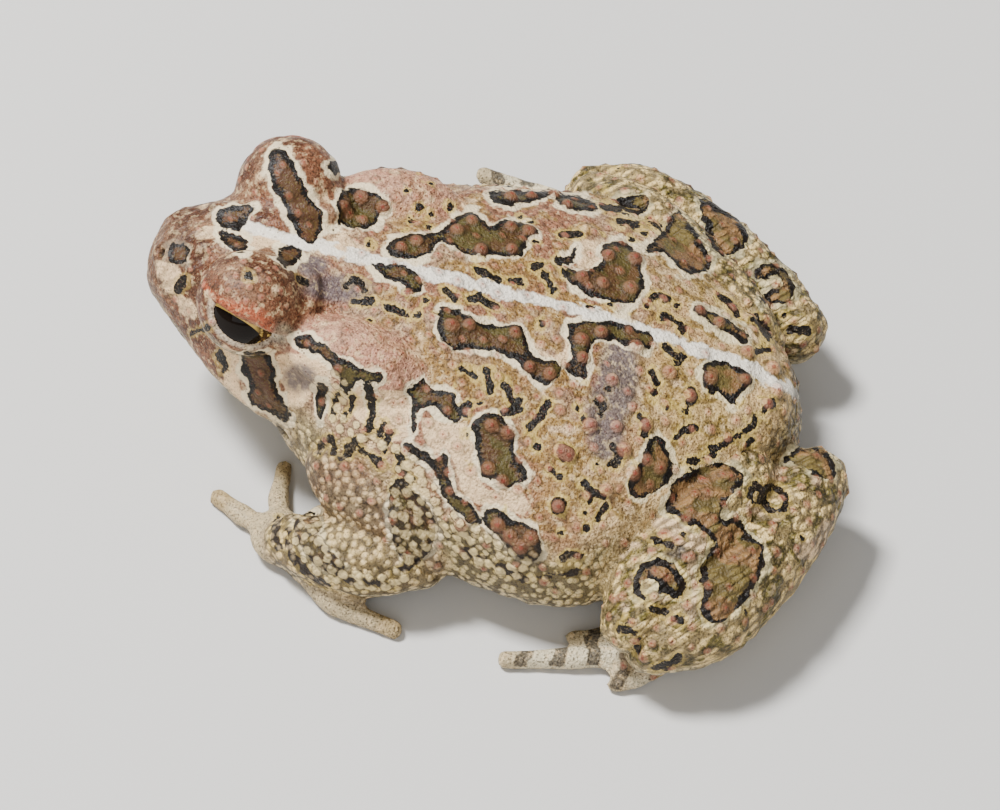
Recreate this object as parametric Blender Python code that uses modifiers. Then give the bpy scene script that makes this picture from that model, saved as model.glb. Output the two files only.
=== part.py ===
"""A Fowler's toad at life size, sitting with its legs folded.

The toad faces -Y, its left side is +X and it rests on the plane Z = 0. Each named
part of the body is a closed solid of its own, 0.3 mm clear of the part it grows from.
Lengths in the tables are millimetres on a toad 68 mm from snout to vent.
"""

import math
import random

import bmesh
import bpy
import numpy as np
from mathutils import Matrix, Vector
from mathutils.bvhtree import BVHTree

SNOUT_VENT = 0.068
MM = SNOUT_VENT / 68
GAP = 0.0003
LEFT, RIGHT = 1, -1

# Trunk sections from the neck to the vent: place along Y, half width, height of the
# back, height of the widest line and height of the belly.
TORSO = (
    (-22.0, 0.0, 14.0, 13.0, 12.0),
    (-19.5, 9.5, 20.4, 11.5, 5.6),
    (-15.0, 15.0, 23.0, 10.2, 3.0),
    (-9.0, 19.6, 23.6, 9.4, 0.9),
    (-2.0, 22.8, 23.3, 8.8, -0.5),
    (6.0, 25.0, 22.3, 8.2, -0.9),
    (12.5, 25.4, 21.6, 8.0, -0.9),
    (18.5, 23.0, 20.4, 8.0, -0.8),
    (24.0, 18.0, 18.9, 8.2, -0.4),
    (29.0, 12.2, 17.2, 8.4, 0.8),
    (32.6, 6.6, 15.0, 8.8, 3.4),
    (34.4, 0.0, 10.0, 9.2, 8.4),
)
# Head sections from the snout into the neck, in the same order, before the head turns.
HEAD = (
    (-34.7, 0.0, 18.0, 17.4, 16.8),
    (-34.3, 2.8, 19.6, 17.2, 14.2),
    (-33.4, 4.5, 21.2, 17.2, 12.4),
    (-32.0, 5.6, 22.2, 16.8, 11.0),
    (-30.0, 7.2, 22.9, 15.8, 9.8),
    (-27.5, 9.2, 23.4, 14.6, 8.6),
    (-24.0, 11.7, 23.8, 13.4, 7.2),
    (-20.0, 13.3, 24.0, 12.2, 5.6),
    (-16.0, 13.4, 23.8, 11.0, 4.6),
    (-12.0, 11.6, 23.2, 10.4, 4.6),
    (-9.0, 7.0, 20.6, 10.0, 6.0),
    (-7.0, 0.0, 14.0, 12.0, 10.0),
)
HEAD_TURN, TURN_PIVOT_Y, TURN_BEGINS_Y, TURN_ENDS_Y = 2.5, -13.0, -10.0, -18.0
BELLY_SQUARENESS, BACK_SQUARENESS = 2.5, 2.15
JAW_SQUARENESS, FACE_SQUARENESS = 1.6, 2.2

# The eye, its lid dome and the gaze on the left side; the right side mirrors them.
EYE_CENTRE, EYE_RADIUS = (8.5, -22.8, 22.0), 4.3
LID_CENTRE, LID_RADII = (8.3, -22.3, 22.5), (5.4, 5.6, 5.3)
BROW_CENTRE, BROW_RADII = (6.2, -21.6, 21.2), (4.4, 6.4, 4.6)
GAZE_TURN, GAZE_RISE = 4.0, 16.0
OPENING_RADII, OPENING_TILT = (3.9, 1.75), 0.0

# The gland behind each eye, and the low ridges of bone that frame the eye.
GLAND_CENTRE, GLAND_RADII, GLAND_TURN = (10.8, -11.4, 20.4), (3.8, 6.8, 3.4), 9.0
INNER_CREST = ((2.7, -28.8, 22.6), (2.9, -25.0, 23.7), (3.2, -20.0, 24.2), (4.6, -17.2, 24.0))
OUTER_CREST = ((4.6, -17.2, 24.0), (8.0, -16.6, 23.2), (11.4, -16.6, 20.6))
CREST_HEIGHT, CREST_WIDTH = 0.6, 0.8
EARDRUM_CENTRE, EARDRUM_RADIUS, EARDRUM_DEPTH = (12.6, -17.0, 16.4), 1.7, 0.3
NOSTRIL_CENTRE, NOSTRIL_END = (2.5, -32.9, 20.5), (3.1, -32.3, 20.2)
NOSTRIL_DEPTH, NOSTRIL_RADIUS = 0.7, 0.5
# How far the eardrum's rim reaches, in radii, and how fast its dish turns into the rim.
RIM_REACH, RIM_TURN = 1.4, 2.2
MOUTH_DEPTH, MOUTH_WIDTH = 0.6, 0.5
LIP = ((-34.3, 14.9), (-33.0, 14.4), (-30.0, 13.4), (-26.0, 12.2), (-22.0, 11.2), (-18.0, 10.2), (-16.4, 9.6))

# Limb bones as rows of centre x, y, z, half width and half height, left limb first.
LIMBS = {
    "thigh_left": (
        (3.0, 28.0, 10.0, 5.0, 5.6),
        (10.0, 26.6, 9.8, 6.4, 6.0),
        (17.0, 24.2, 9.2, 6.4, 5.9),
        (23.2, 22.2, 8.4, 5.4, 5.0),
        (26.8, 21.0, 7.8, 3.6, 3.8),
    ),
    "shank_left": (
        (26.8, 23.0, 6.6, 4.2, 4.4),
        (23.8, 26.4, 7.2, 5.8, 5.2),
        (17.6, 30.6, 7.8, 5.6, 5.2),
        (10.8, 34.4, 8.2, 4.6, 4.6),
        (5.6, 36.4, 8.4, 3.8, 4.2),
    ),
    "thigh_right": (
        (-3.0, 28.0, 10.0, 5.0, 5.6),
        (-9.6, 24.6, 10.2, 6.6, 6.4),
        (-16.4, 18.6, 10.6, 6.4, 6.4),
        (-22.6, 12.6, 10.6, 5.6, 5.8),
        (-25.6, 9.6, 10.0, 4.0, 4.4),
    ),
    "shank_right": (
        (-27.4, 9.4, 8.6, 4.4, 4.8),
        (-26.6, 14.0, 8.8, 5.4, 5.8),
        (-23.4, 21.0, 8.4, 5.4, 5.6),
        (-19.2, 27.8, 8.0, 4.6, 4.8),
        (-15.8, 32.2, 7.6, 3.7, 4.1),
    ),
    "upper_arm_left": (
        (11.5, -11.5, 10.5, 4.4, 4.8),
        (16.6, -9.4, 9.6, 4.6, 5.0),
        (20.4, -4.6, 8.2, 4.0, 4.6),
        (21.9, -0.8, 7.0, 3.2, 3.8),
    ),
    "forearm_left": (
        (22.4, -1.6, 6.2, 3.4, 3.8),
        (23.4, -6.4, 5.6, 4.1, 4.2),
        (22.9, -11.2, 4.4, 3.5, 3.6),
        (21.4, -14.6, 3.2, 2.8, 2.7),
    ),
}
ARM_SIDES = {"upper_arm_right": "upper_arm_left", "forearm_right": "forearm_left"}

# Hands and feet: a flat palm or sole, and toes as a root, a knuckle, a tip and a half width.
HAND_PALM = ((22.0, -12.8, 2.6, 2.6, 2.3), (20.4, -15.6, 2.0, 3.3, 1.9), (18.4, -17.0, 1.5, 2.6, 1.5))
FINGERS = (
    ((18.6, -14.8), (15.6, -12.4), (13.2, -10.8), 1.10),
    ((18.4, -16.4), (14.4, -17.2), (10.2, -17.4), 1.15),
    ((19.2, -17.4), (17.6, -20.4), (15.6, -23.4), 1.20),
    ((22.4, -14.4), (26.6, -9.2), (28.2, -2.4), 1.20),
)
SOLE_LEFT = (
    (8.2, 35.6, 3.6, 3.0, 3.4),
    (12.8, 34.0, 2.9, 3.0, 3.0),
    (18.4, 29.8, 2.5, 2.9, 2.6),
    (22.8, 25.6, 2.1, 3.4, 2.2),
    (25.2, 23.0, 1.7, 3.0, 1.8),
)
TOES_LEFT = (
    ((21.6, 27.0), (19.0, 25.0), (17.0, 23.0), 0.95),
    ((23.2, 24.4), (21.8, 21.4), (21.2, 18.2), 1.00),
    ((24.4, 23.0), (24.6, 19.0), (24.9, 15.0), 1.05),
    ((25.6, 22.6), (27.6, 15.6), (29.3, 8.8), 1.20),
    ((26.8, 24.4), (28.8, 22.2), (29.8, 20.0), 1.00),
)
SOLE_RIGHT = (
    (-15.6, 30.2, 3.6, 3.0, 3.4),
    (-20.8, 27.2, 2.9, 3.1, 3.0),
    (-26.6, 21.0, 2.5, 3.1, 2.6),
    (-30.4, 15.0, 2.1, 3.6, 2.2),
    (-32.0, 11.4, 1.7, 3.0, 1.8),
)
TOES_RIGHT = (
    ((-28.4, 17.0), (-26.0, 14.6), (-24.2, 12.4), 0.95),
    ((-30.2, 12.6), (-28.6, 8.8), (-27.6, 5.4), 1.00),
    ((-31.2, 11.4), (-31.0, 6.4), (-31.4, 1.6), 1.05),
    ((-32.4, 11.0), (-34.6, 3.6), (-36.4, -4.2), 1.15),
    ((-33.8, 13.0), (-36.8, 9.8), (-38.6, 6.6), 1.00),
)
TOE_HEIGHT, TOE_TIP_HEIGHT = 1.05, 0.75
# Thin webs between the roots of the longer toes: centre, radii and turn about Z.
WEB_LEFT = ((25.4, 20.0, 0.95), (3.2, 4.4, 0.65), 0.0)
WEB_RIGHT = ((-31.0, 8.8, 0.95), (3.2, 4.4, 0.65), -10.0)

# Larger warts of the back where the photograph shows them, as picture points by patch.
WARTS_SEEN = {
    "nape": ((344, 205), (347, 214), (360, 197), (362, 220), (384, 207)),
    "right shoulder": ((417, 240), (402, 247), (457, 230), (472, 221), (480, 249)),
    "right middle": ((511, 226), (512, 249), (530, 230), (510, 197), (532, 195), (555, 195)),
    "right loin": ((609, 257), (634, 259), (582, 277), (602, 282), (632, 286), (567, 204)),
    "left shoulder": ((451, 324), (469, 324), (516, 332), (531, 366), (549, 372)),
    "left loin": ((582, 340), (583, 357), (602, 332), (636, 346), (611, 379)),
    "rump": ((712, 378), (745, 379), (700, 310), (719, 322), (670, 371), (690, 396)),
    "left side": ((490, 426), (508, 433), (488, 469), (502, 480), (560, 451), (570, 454)),
    "left flank": ((558, 505), (497, 526), (508, 537), (519, 547), (531, 538), (461, 526)),
    "left haunch": ((591, 425), (616, 426), (646, 424), (625, 449), (646, 461), (660, 467)),
    "tail end": ((768, 404), (776, 389), (772, 367), (748, 352), (634, 474), (607, 489)),
}
SEEN_RADIUS, WART_RISE = 1.05, 0.62
# The photograph's view: rise and turn of the line of sight, roll, distance and scale,
# and the picture point on which the snout's tip falls.
VIEW_RISE, VIEW_TURN, VIEW_ROLL = 49.5, 2.0, 9.3
VIEW_DISTANCE, PIXELS_PER_MM, PICTURE_SIZE = 400.0, 9.8, (1000, 810)
SNOUT_PLACE, SNOUT_PIXEL = (0.0, -34.0, 18.5), (155, 252)
# Smaller warts that fill the rest of the back and the side that the photograph hides.
FILL_WARTS, WART_SEED, FILL_RADII, WART_SPACING = 46, 11, (0.6, 1.0), 3.0
FILL_ALONG, FILL_ACROSS, DROP_HEIGHT, MOST_DRAWS = (-11.0, 30.0), 0.93, 60.0, 4000

# Mesh sizes: the grid that fuses a form, how often it is then softened, and how many
# triangles each kind keeps.
FUSE_GRID, SOFTENINGS = 0.00055, 8
DIGIT_GRID, DIGIT_SOFTENINGS = 0.00038, 3
TRUNK_TRIANGLES = 6600
BONE_TRIANGLES = {"thigh": 440, "shank": 460, "upper_arm": 300, "forearm": 340}
HAND_TRIANGLES, FOOT_TRIANGLES = 560, 700
NECK_POINT, NECK_LEAN, HALF_SPACE = (0.0, -15.2, 12.0), 8.0, 0.2
GROWTH = GAP * 1.1

SKIN_COLOURS = {
    "back": (0.36, 0.27, 0.20),
    "limb": (0.33, 0.29, 0.18),
    "toe": (0.55, 0.50, 0.38),
    "eye": (0.02, 0.015, 0.01),
}


def clear_scene():
    """Remove every object of the scene that the file opened with."""
    for obj in list(bpy.data.objects):
        bpy.data.objects.remove(obj, do_unlink=True)


def principled(name, colour, roughness):
    """A plain material with one colour."""
    material = bpy.data.materials.new(name)
    material.use_nodes = True
    shader = material.node_tree.nodes["Principled BSDF"]
    shader.inputs["Base Color"].default_value = (*colour, 1.0)
    shader.inputs["Roughness"].default_value = roughness
    shader.inputs["Metallic"].default_value = 0.0
    return material


def link_mesh(name, bm, collection):
    """Put a bmesh into a new object and free the bmesh."""
    mesh = bpy.data.meshes.new(name)
    bm.to_mesh(mesh)
    bm.free()
    obj = bpy.data.objects.new(name, mesh)
    collection.objects.link(obj)
    return obj


def evaluated_copy(obj):
    """The object's mesh with its modifiers applied, as new data."""
    bpy.context.view_layer.update()
    graph = bpy.context.evaluated_depsgraph_get()
    return bpy.data.meshes.new_from_object(obj.evaluated_get(graph))


def apply_modifiers(obj):
    """Replace the object's mesh by its evaluated mesh."""
    mesh = evaluated_copy(obj)
    old = obj.data
    obj.modifiers.clear()
    obj.data = mesh
    bpy.data.meshes.remove(old)
    mesh.name = obj.name
    return obj


def smooth_rows(rows, share):
    """Catmull-Rom value of a table of rows at a share from 0 to 1 of its rows."""
    rows = np.asarray(rows, float)
    last = len(rows) - 1
    place = min(max(share, 0.0), 1.0) * last
    i = min(int(place), last - 1)
    t = place - i
    before, start = rows[max(i - 1, 0)], rows[i]
    end, after = rows[i + 1], rows[min(i + 2, last)]
    return 0.5 * (
        2 * start
        + (end - before) * t
        + (2 * before - 5 * start + 4 * end - after) * t * t
        + (3 * start - before - 3 * end + after) * t**3
    )


def section_at(rows, y):
    """Half width, back, widest line and belly of a table of sections at a place along Y.

    Places are read on the arc of a half turn, which rounds both ends."""
    first, last = rows[0][0], rows[-1][0]
    arc = [math.acos(1 - 2 * (r[0] - first) / (last - first)) for r in rows]
    here = math.acos(1 - 2 * min(max((y - first) / (last - first), 0.0), 1.0))
    i = max(k for k in range(len(rows) - 1) if arc[k] <= here + 1e-9)
    share = (i + (here - arc[i]) / (arc[i + 1] - arc[i])) / (len(rows) - 1)
    return smooth_rows([r[1:] for r in rows], share)


def power(value, squareness):
    """A cosine or sine bent to a squarer or more pointed outline."""
    return math.copysign(abs(value) ** (2 / squareness), value)


def face_outwards(bm):
    """Turn the faces of a closed mesh outwards."""
    bm.normal_update()
    if bm.calc_volume(signed=True) < 0:
        bmesh.ops.reverse_faces(bm, faces=bm.faces)


def form_of_sections(name, rows, upper, lower, collection, around=72, along=64):
    """A closed form through the sections of a table, started from a sphere."""
    bm = bmesh.new()
    bmesh.ops.create_uvsphere(bm, u_segments=around, v_segments=along, radius=1.0)
    first, last = rows[0][0], rows[-1][0]
    for vert in bm.verts:
        y = first + (last - first) * (1 + vert.co.z) / 2
        angle = math.atan2(vert.co.y, vert.co.x)
        ring = math.hypot(vert.co.x, vert.co.y)
        width, top, side, belly = section_at(rows, y)
        squareness = upper if math.sin(angle) >= 0 else lower
        height = top - side if math.sin(angle) >= 0 else side - belly
        if ring < 1e-6:
            width = height = 0.0
        x = width * power(math.cos(angle), squareness)
        z = side + height * power(math.sin(angle), squareness)
        vert.co = Vector((x, y, z)) * MM
    face_outwards(bm)
    return link_mesh(name, bm, collection)


def limb_form(name, rows, collection, around=20, along=22):
    """A closed limb with round ends through rows of centre, half width and half height."""
    bm = bmesh.new()
    bmesh.ops.create_uvsphere(bm, u_segments=around, v_segments=along, radius=1.0)
    for vert in bm.verts:
        travel = math.acos(min(max(-vert.co.z, -1.0), 1.0)) / math.pi
        angle = math.atan2(vert.co.y, vert.co.x)
        cap = 0.5 / len(rows)
        share = min(max((travel - cap) / (1 - 2 * cap), 0.0), 1.0)
        past = (travel - cap) / cap if travel < cap else max(0.0, (travel - 1 + cap) / cap)
        row = smooth_rows(rows, share)
        ahead = smooth_rows(rows, min(share + 0.02, 1.0)) - smooth_rows(rows, max(share - 0.02, 0.0))
        along_way = Vector(ahead[:3]).normalized()
        across = along_way.cross(Vector((0, 0, 1))).normalized()
        up = across.cross(along_way)
        shrink = math.sqrt(max(0.0, 1 - past * past))
        centre = Vector(row[:3]) + along_way * past * min(row[3], row[4])
        offset = across * row[3] * math.cos(angle) + up * row[4] * math.sin(angle)
        vert.co = (centre + offset * shrink) * MM
    face_outwards(bm)
    return link_mesh(name, bm, collection)


def ellipsoid(name, centre, radii, turn, collection, segments=32):
    """An ellipsoid with its long axis turned about Z."""
    bm = bmesh.new()
    bmesh.ops.create_uvsphere(bm, u_segments=segments, v_segments=segments // 2, radius=1.0)
    placed = (
        Matrix.Translation(Vector(centre) * MM)
        @ Matrix.Rotation(math.radians(turn), 4, "Z")
        @ Matrix.Diagonal((*(Vector(radii) * MM), 1.0))
    )
    bmesh.ops.transform(bm, matrix=placed, verts=bm.verts)
    return link_mesh(name, bm, collection)


def mirrored(point, side):
    """A point of the left side, or its mirror image on the right."""
    return (point[0] * side, point[1], point[2])


def join_closed(name, pieces, collection):
    """Gather closed meshes in one object, without yet fusing them."""
    bm = bmesh.new()
    for piece in pieces:
        bm.from_mesh(piece.data)
    for piece in pieces:
        bpy.data.objects.remove(piece, do_unlink=True)
    return link_mesh(name, bm, collection)


def fuse(obj, grid, passes):
    """Fuse overlapping closed meshes into one smooth skin on a fine grid."""
    remesh = obj.modifiers.new("fuse", "REMESH")
    remesh.mode = "VOXEL"
    remesh.voxel_size = grid
    remesh.adaptivity = 0.0
    soften = obj.modifiers.new("soften", "SMOOTH")
    soften.factor = 0.5
    soften.iterations = passes
    return apply_modifiers(obj)


def thin_out(obj, triangles):
    """Reduce a dense mesh to about a number of triangles."""
    present = sum(len(p.vertices) - 2 for p in obj.data.polygons)
    decimate = obj.modifiers.new("thin", "DECIMATE")
    decimate.ratio = min(1.0, triangles / present)
    decimate.use_collapse_triangulate = True
    return apply_modifiers(obj)


def read_vertices(mesh):
    """Places and normals of a mesh's vertices as arrays in metres."""
    places = np.empty(len(mesh.vertices) * 3, np.float32)
    normals = np.empty(len(mesh.vertices) * 3, np.float32)
    mesh.vertices.foreach_get("co", places)
    mesh.vertices.foreach_get("normal", normals)
    return places.reshape(-1, 3).astype(float), normals.reshape(-1, 3).astype(float)


def write_vertices(mesh, places):
    """Put changed places back into a mesh."""
    mesh.vertices.foreach_set("co", places.astype(np.float32).ravel())
    mesh.update()


def distance_to_path(places, path):
    """Distance in millimetres from each vertex to a polyline given in millimetres."""
    points = places / MM
    nearest = np.full(len(points), 1e9)
    for start, end in zip(path[:-1], path[1:]):
        start, end = np.array(start), np.array(end)
        run = end - start
        share = np.clip(((points - start) @ run) / (run @ run), 0, 1)
        nearest = np.minimum(nearest, np.linalg.norm(points - start - share[:, None] * run, axis=1))
    return nearest


def surface_x(y, z):
    """Half width of the unturned head at a place and height on its lower half."""
    width, _, side, belly = section_at(HEAD, y)
    drop = min(max((side - z) / (side - belly), 0.0), 1.0)
    return width * (1 - drop**JAW_SQUARENESS) ** (1 / JAW_SQUARENESS)


def lip_path(side):
    """Points along the closed mouth from the middle of the snout to its corner."""
    return [(0.0, LIP[0][0] - 0.1, LIP[0][1])] + [(side * surface_x(y, z), y, z) for y, z in LIP]


def head_weight(y):
    """How much of the head's turn applies at a place along Y, from 0 to 1."""
    share = min(max((TURN_BEGINS_Y - y) / (TURN_BEGINS_Y - TURN_ENDS_Y), 0.0), 1.0)
    return share * share * (3 - 2 * share)


def turned(point):
    """A point of the head in millimetres after the head has turned to its right."""
    angle = math.radians(-HEAD_TURN) * head_weight(point[1])
    x, y = point[0], point[1] - TURN_PIVOT_Y
    across = x * math.cos(angle) - y * math.sin(angle)
    ahead = x * math.sin(angle) + y * math.cos(angle)
    return (across, ahead + TURN_PIVOT_Y, point[2])


def raise_along(places, normals, path, height, width):
    """Lift the skin beside a path by a soft ridge, or sink it where the height is negative."""
    near = distance_to_path(places, path)
    lift = height * np.exp(-((near / width) ** 2)) * MM
    return places + normals * lift[:, None]


def shape_face(obj):
    """Crests, mouth line, nostrils and eardrums on the fused head and trunk."""
    places, normals = read_vertices(obj.data)
    for side in (LEFT, RIGHT):
        for crest in (INNER_CREST, OUTER_CREST):
            path = [mirrored(p, side) for p in crest]
            places = raise_along(places, normals, path, CREST_HEIGHT, CREST_WIDTH)
        places = raise_along(places, normals, lip_path(side), -MOUTH_DEPTH, MOUTH_WIDTH)
        nostril = [mirrored(NOSTRIL_CENTRE, side), mirrored(NOSTRIL_END, side)]
        places = raise_along(places, normals, nostril, -NOSTRIL_DEPTH, NOSTRIL_RADIUS)
        drum = np.array(mirrored(EARDRUM_CENTRE, side))
        away = np.linalg.norm(places / MM - drum, axis=1)
        share = np.clip(away / EARDRUM_RADIUS, 0, RIM_REACH)
        dish = -EARDRUM_DEPTH * (share < RIM_REACH) * np.cos(share * RIM_TURN)
        places = places + normals * (dish * MM)[:, None]
    write_vertices(obj.data, places)


def view_ray(pixel):
    """The photograph's viewpoint and the direction through a picture point, in millimetres."""
    rise, turn, roll = (math.radians(angle) for angle in (VIEW_RISE, VIEW_TURN, VIEW_ROLL))
    back = Vector((math.cos(rise) * math.cos(turn), math.cos(rise) * math.sin(turn), math.sin(rise)))
    level = (-back).cross(Vector((0, 0, 1))).normalized()
    upright = level.cross(-back)
    right = level * math.cos(roll) + upright * math.sin(roll)
    up = upright * math.cos(roll) - level * math.sin(roll)
    wide, high = PICTURE_SIZE
    across = (SNOUT_PIXEL[0] - wide / 2) / PIXELS_PER_MM
    above = (high / 2 - SNOUT_PIXEL[1]) / PIXELS_PER_MM
    eye = Vector(SNOUT_PLACE) + back * VIEW_DISTANCE - right * across - up * above
    focal = PIXELS_PER_MM * VIEW_DISTANCE
    aim = right * (pixel[0] - wide / 2) / focal + up * (high / 2 - pixel[1]) / focal - back
    return eye, aim.normalized()


def wart_places(obj):
    """Centres and radii of the warts in millimetres: those seen, then seeded smaller ones."""
    tree = BVHTree.FromPolygons(
        [v.co / MM for v in obj.data.vertices], [tuple(p.vertices) for p in obj.data.polygons]
    )
    chosen = []
    for patch in WARTS_SEEN.values():
        for pixel in patch:
            place = tree.ray_cast(*view_ray(pixel))[0]
            if place is not None:
                chosen.append((place, SEEN_RADIUS))
    draw = random.Random(WART_SEED)
    wanted = len(chosen) + FILL_WARTS
    for _ in range(MOST_DRAWS):
        y = draw.uniform(*FILL_ALONG)
        reach = section_at(TORSO, y)[0] * FILL_ACROSS
        start = Vector((draw.uniform(-reach, reach), y, DROP_HEIGHT))
        place = tree.ray_cast(start, Vector((0, 0, -1)))[0]
        radius = draw.uniform(*FILL_RADII)
        if place is not None and all((place - c[0]).length > WART_SPACING for c in chosen):
            chosen.append((place, radius))
        if len(chosen) == wanted:
            break
    return chosen


def raise_warts(obj):
    """Round warts on the upper side of the trunk."""
    places, normals = read_vertices(obj.data)
    points = places / MM
    lift = np.zeros(len(points))
    for centre, radius in wart_places(obj):
        away = np.linalg.norm(points - np.array(centre), axis=1)
        lift = np.maximum(lift, WART_RISE * radius * np.exp(-((away / (radius * 0.8)) ** 2)))
    write_vertices(obj.data, places + normals * (lift * MM)[:, None])


def build_trunk(collection):
    """Head and torso as one fused form, thinned to the triangles that it keeps."""
    pieces = [
        form_of_sections("torso_form", TORSO, BACK_SQUARENESS, BELLY_SQUARENESS, collection),
        form_of_sections("head_form", HEAD, FACE_SQUARENESS, JAW_SQUARENESS, collection),
    ]
    for side in (LEFT, RIGHT):
        pieces.append(ellipsoid("lid", mirrored(LID_CENTRE, side), LID_RADII, 0.0, collection))
        pieces.append(ellipsoid("brow", mirrored(BROW_CENTRE, side), BROW_RADII, 0.0, collection))
        gland = mirrored(GLAND_CENTRE, side)
        pieces.append(ellipsoid("gland", gland, GLAND_RADII, -GLAND_TURN * side, collection))
    trunk = fuse(join_closed("trunk", pieces, collection), FUSE_GRID, SOFTENINGS)
    shape_face(trunk)
    raise_warts(trunk)
    for vert in trunk.data.vertices:
        vert.co = Vector(turned(vert.co / MM)) * MM
    return thin_out(trunk, TRUNK_TRIANGLES)


def gaze(side):
    """Unit vector along which an eye looks: sideways, forward and a little up."""
    turn, rise = math.radians(GAZE_TURN), math.radians(GAZE_RISE)
    flat = math.cos(rise)
    return Vector((side * math.cos(turn) * flat, -math.sin(turn) * flat, math.sin(rise)))


def boolean(obj, other, operation, solver="EXACT"):
    """Apply one Boolean of obj with another object."""
    modifier = obj.modifiers.new(operation.lower(), "BOOLEAN")
    modifier.operation = operation
    modifier.object = other
    modifier.solver = solver
    return apply_modifiers(obj)


def open_eyes(trunk, cutters):
    """Cut a round socket and an opening between the lids for each eyeball."""
    for side in (LEFT, RIGHT):
        centre = turned(mirrored(EYE_CENTRE, side))
        socket_radius = EYE_RADIUS + GAP / MM
        socket = ellipsoid("socket", centre, (socket_radius,) * 3, 0.0, cutters, 26)
        boolean(trunk, socket, "DIFFERENCE")
        bpy.data.objects.remove(socket, do_unlink=True)
        slit = ellipsoid("slit", (0, 0, 0), (OPENING_RADII[0], OPENING_RADII[1], 5.0), 0.0, cutters, 22)
        turn = gaze(side).to_track_quat("Z", "Y").to_matrix().to_4x4()
        roll = Matrix.Rotation(math.radians(OPENING_TILT) * side, 4, "Z")
        ahead = Vector(centre) * MM + gaze(side) * EYE_RADIUS * MM
        slit.data.transform(Matrix.Translation(ahead) @ turn @ roll)
        boolean(trunk, slit, "DIFFERENCE")
        bpy.data.objects.remove(slit, do_unlink=True)


def keep_largest(obj):
    """Keep only the largest closed surface of an object."""
    bm = bmesh.new()
    bm.from_mesh(obj.data)
    bm.faces.ensure_lookup_table()
    seen, islands = set(), []
    for face in bm.faces:
        if face.index in seen:
            continue
        stack, island = [face], []
        seen.add(face.index)
        while stack:
            here = stack.pop()
            island.append(here)
            for edge in here.edges:
                for beside in edge.link_faces:
                    if beside.index not in seen:
                        seen.add(beside.index)
                        stack.append(beside)
        islands.append(island)
    islands.sort(key=lambda island: sum(f.calc_area() for f in island))
    for island in islands[:-1]:
        bmesh.ops.delete(bm, geom=island, context="FACES")
    loose = [v for v in bm.verts if not v.link_faces]
    bmesh.ops.delete(bm, geom=loose, context="VERTS")
    bm.to_mesh(obj.data)
    bm.free()
    return obj


def box_cutter(name, centre, size, turn, collection):
    """A box with its centre, sides in metres and a turn about X in degrees."""
    bm = bmesh.new()
    bmesh.ops.create_cube(bm, size=1.0)
    placed = (
        Matrix.Translation(Vector(centre))
        @ Matrix.Rotation(math.radians(turn), 4, "X")
        @ Matrix.Diagonal((*size, 1.0))
    )
    bmesh.ops.transform(bm, matrix=placed, verts=bm.verts)
    return link_mesh(name, bm, collection)


def part_trunk(trunk, collection, cutters):
    """Split the fused trunk into a head and a torso by two half spaces at the neck."""
    head = bpy.data.objects.new("head", trunk.data.copy())
    collection.objects.link(head)
    for obj, way in ((head, 1), (trunk, -1)):
        lean = Matrix.Rotation(math.radians(NECK_LEAN), 3, "X")
        shift = lean @ Vector((0, way * (HALF_SPACE - GAP) / 2, 0))
        centre = Vector(NECK_POINT) * MM + shift
        cutter = box_cutter("half", centre, (HALF_SPACE,) * 3, NECK_LEAN, cutters)
        boolean(obj, cutter, "DIFFERENCE")
        bpy.data.objects.remove(cutter, do_unlink=True)
        keep_largest(obj)
    trunk.name = "torso"
    return head, trunk


def grown(obj, by, cutters):
    """A copy of an object with its surface moved out by a small distance."""
    copy = bpy.data.objects.new(obj.name + "_grown", obj.data.copy())
    cutters.objects.link(copy)
    places, normals = read_vertices(copy.data)
    write_vertices(copy.data, places + normals * by)
    return copy


def clear_of(obj, others, cutters):
    """Cut an object back so that it stays a small gap off the whole forms of others."""
    for other in others:
        boolean(obj, cutters.objects[other + "_grown"], "DIFFERENCE")
        keep_largest(obj)


def flatten_under(obj, cutters):
    """Cut away whatever lies under the floor, which leaves a small flat to rest on."""
    floor = box_cutter("floor", (0, 0, -0.05), (0.4, 0.4, 0.1), 0.0, cutters)
    boolean(obj, floor, "DIFFERENCE")
    bpy.data.objects.remove(floor, do_unlink=True)
    return keep_largest(obj)


def digit(root, knuckle, tip, width, height, collection):
    """One finger or toe, thicker at its joints, with a round tip."""
    rows = (
        (*root, height + 0.3, width * 1.15, width),
        (*((Vector(root) + Vector(knuckle)) / 2), height + 0.2, width * 0.95, width * 0.9),
        (*knuckle, height, width * 1.08, width * 0.95),
        (*((Vector(knuckle) + Vector(tip)) / 2), TOE_TIP_HEIGHT + 0.05, width * 0.85, width * 0.85),
        (*tip, TOE_TIP_HEIGHT, width * 0.9, width * 0.8),
    )
    return limb_form("digit", rows, collection, around=10, along=14)


def hand_or_foot(name, palm, digits, web, triangles, collection):
    """A palm or sole with its digits fused to it, and a web between them where it has one."""
    pieces = [limb_form(name, palm, collection)]
    if web:
        pieces.append(ellipsoid("web", *web, collection))
    for root, knuckle, tip, width in digits:
        pieces.append(digit(root, knuckle, tip, width, TOE_HEIGHT, collection))
    fused = fuse(join_closed(name, pieces, collection), DIGIT_GRID, DIGIT_SOFTENINGS)
    return thin_out(fused, triangles)


def flip(rows):
    """The rows of a left limb mirrored to the right."""
    return tuple((-row[0], *row[1:]) for row in rows)


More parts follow.
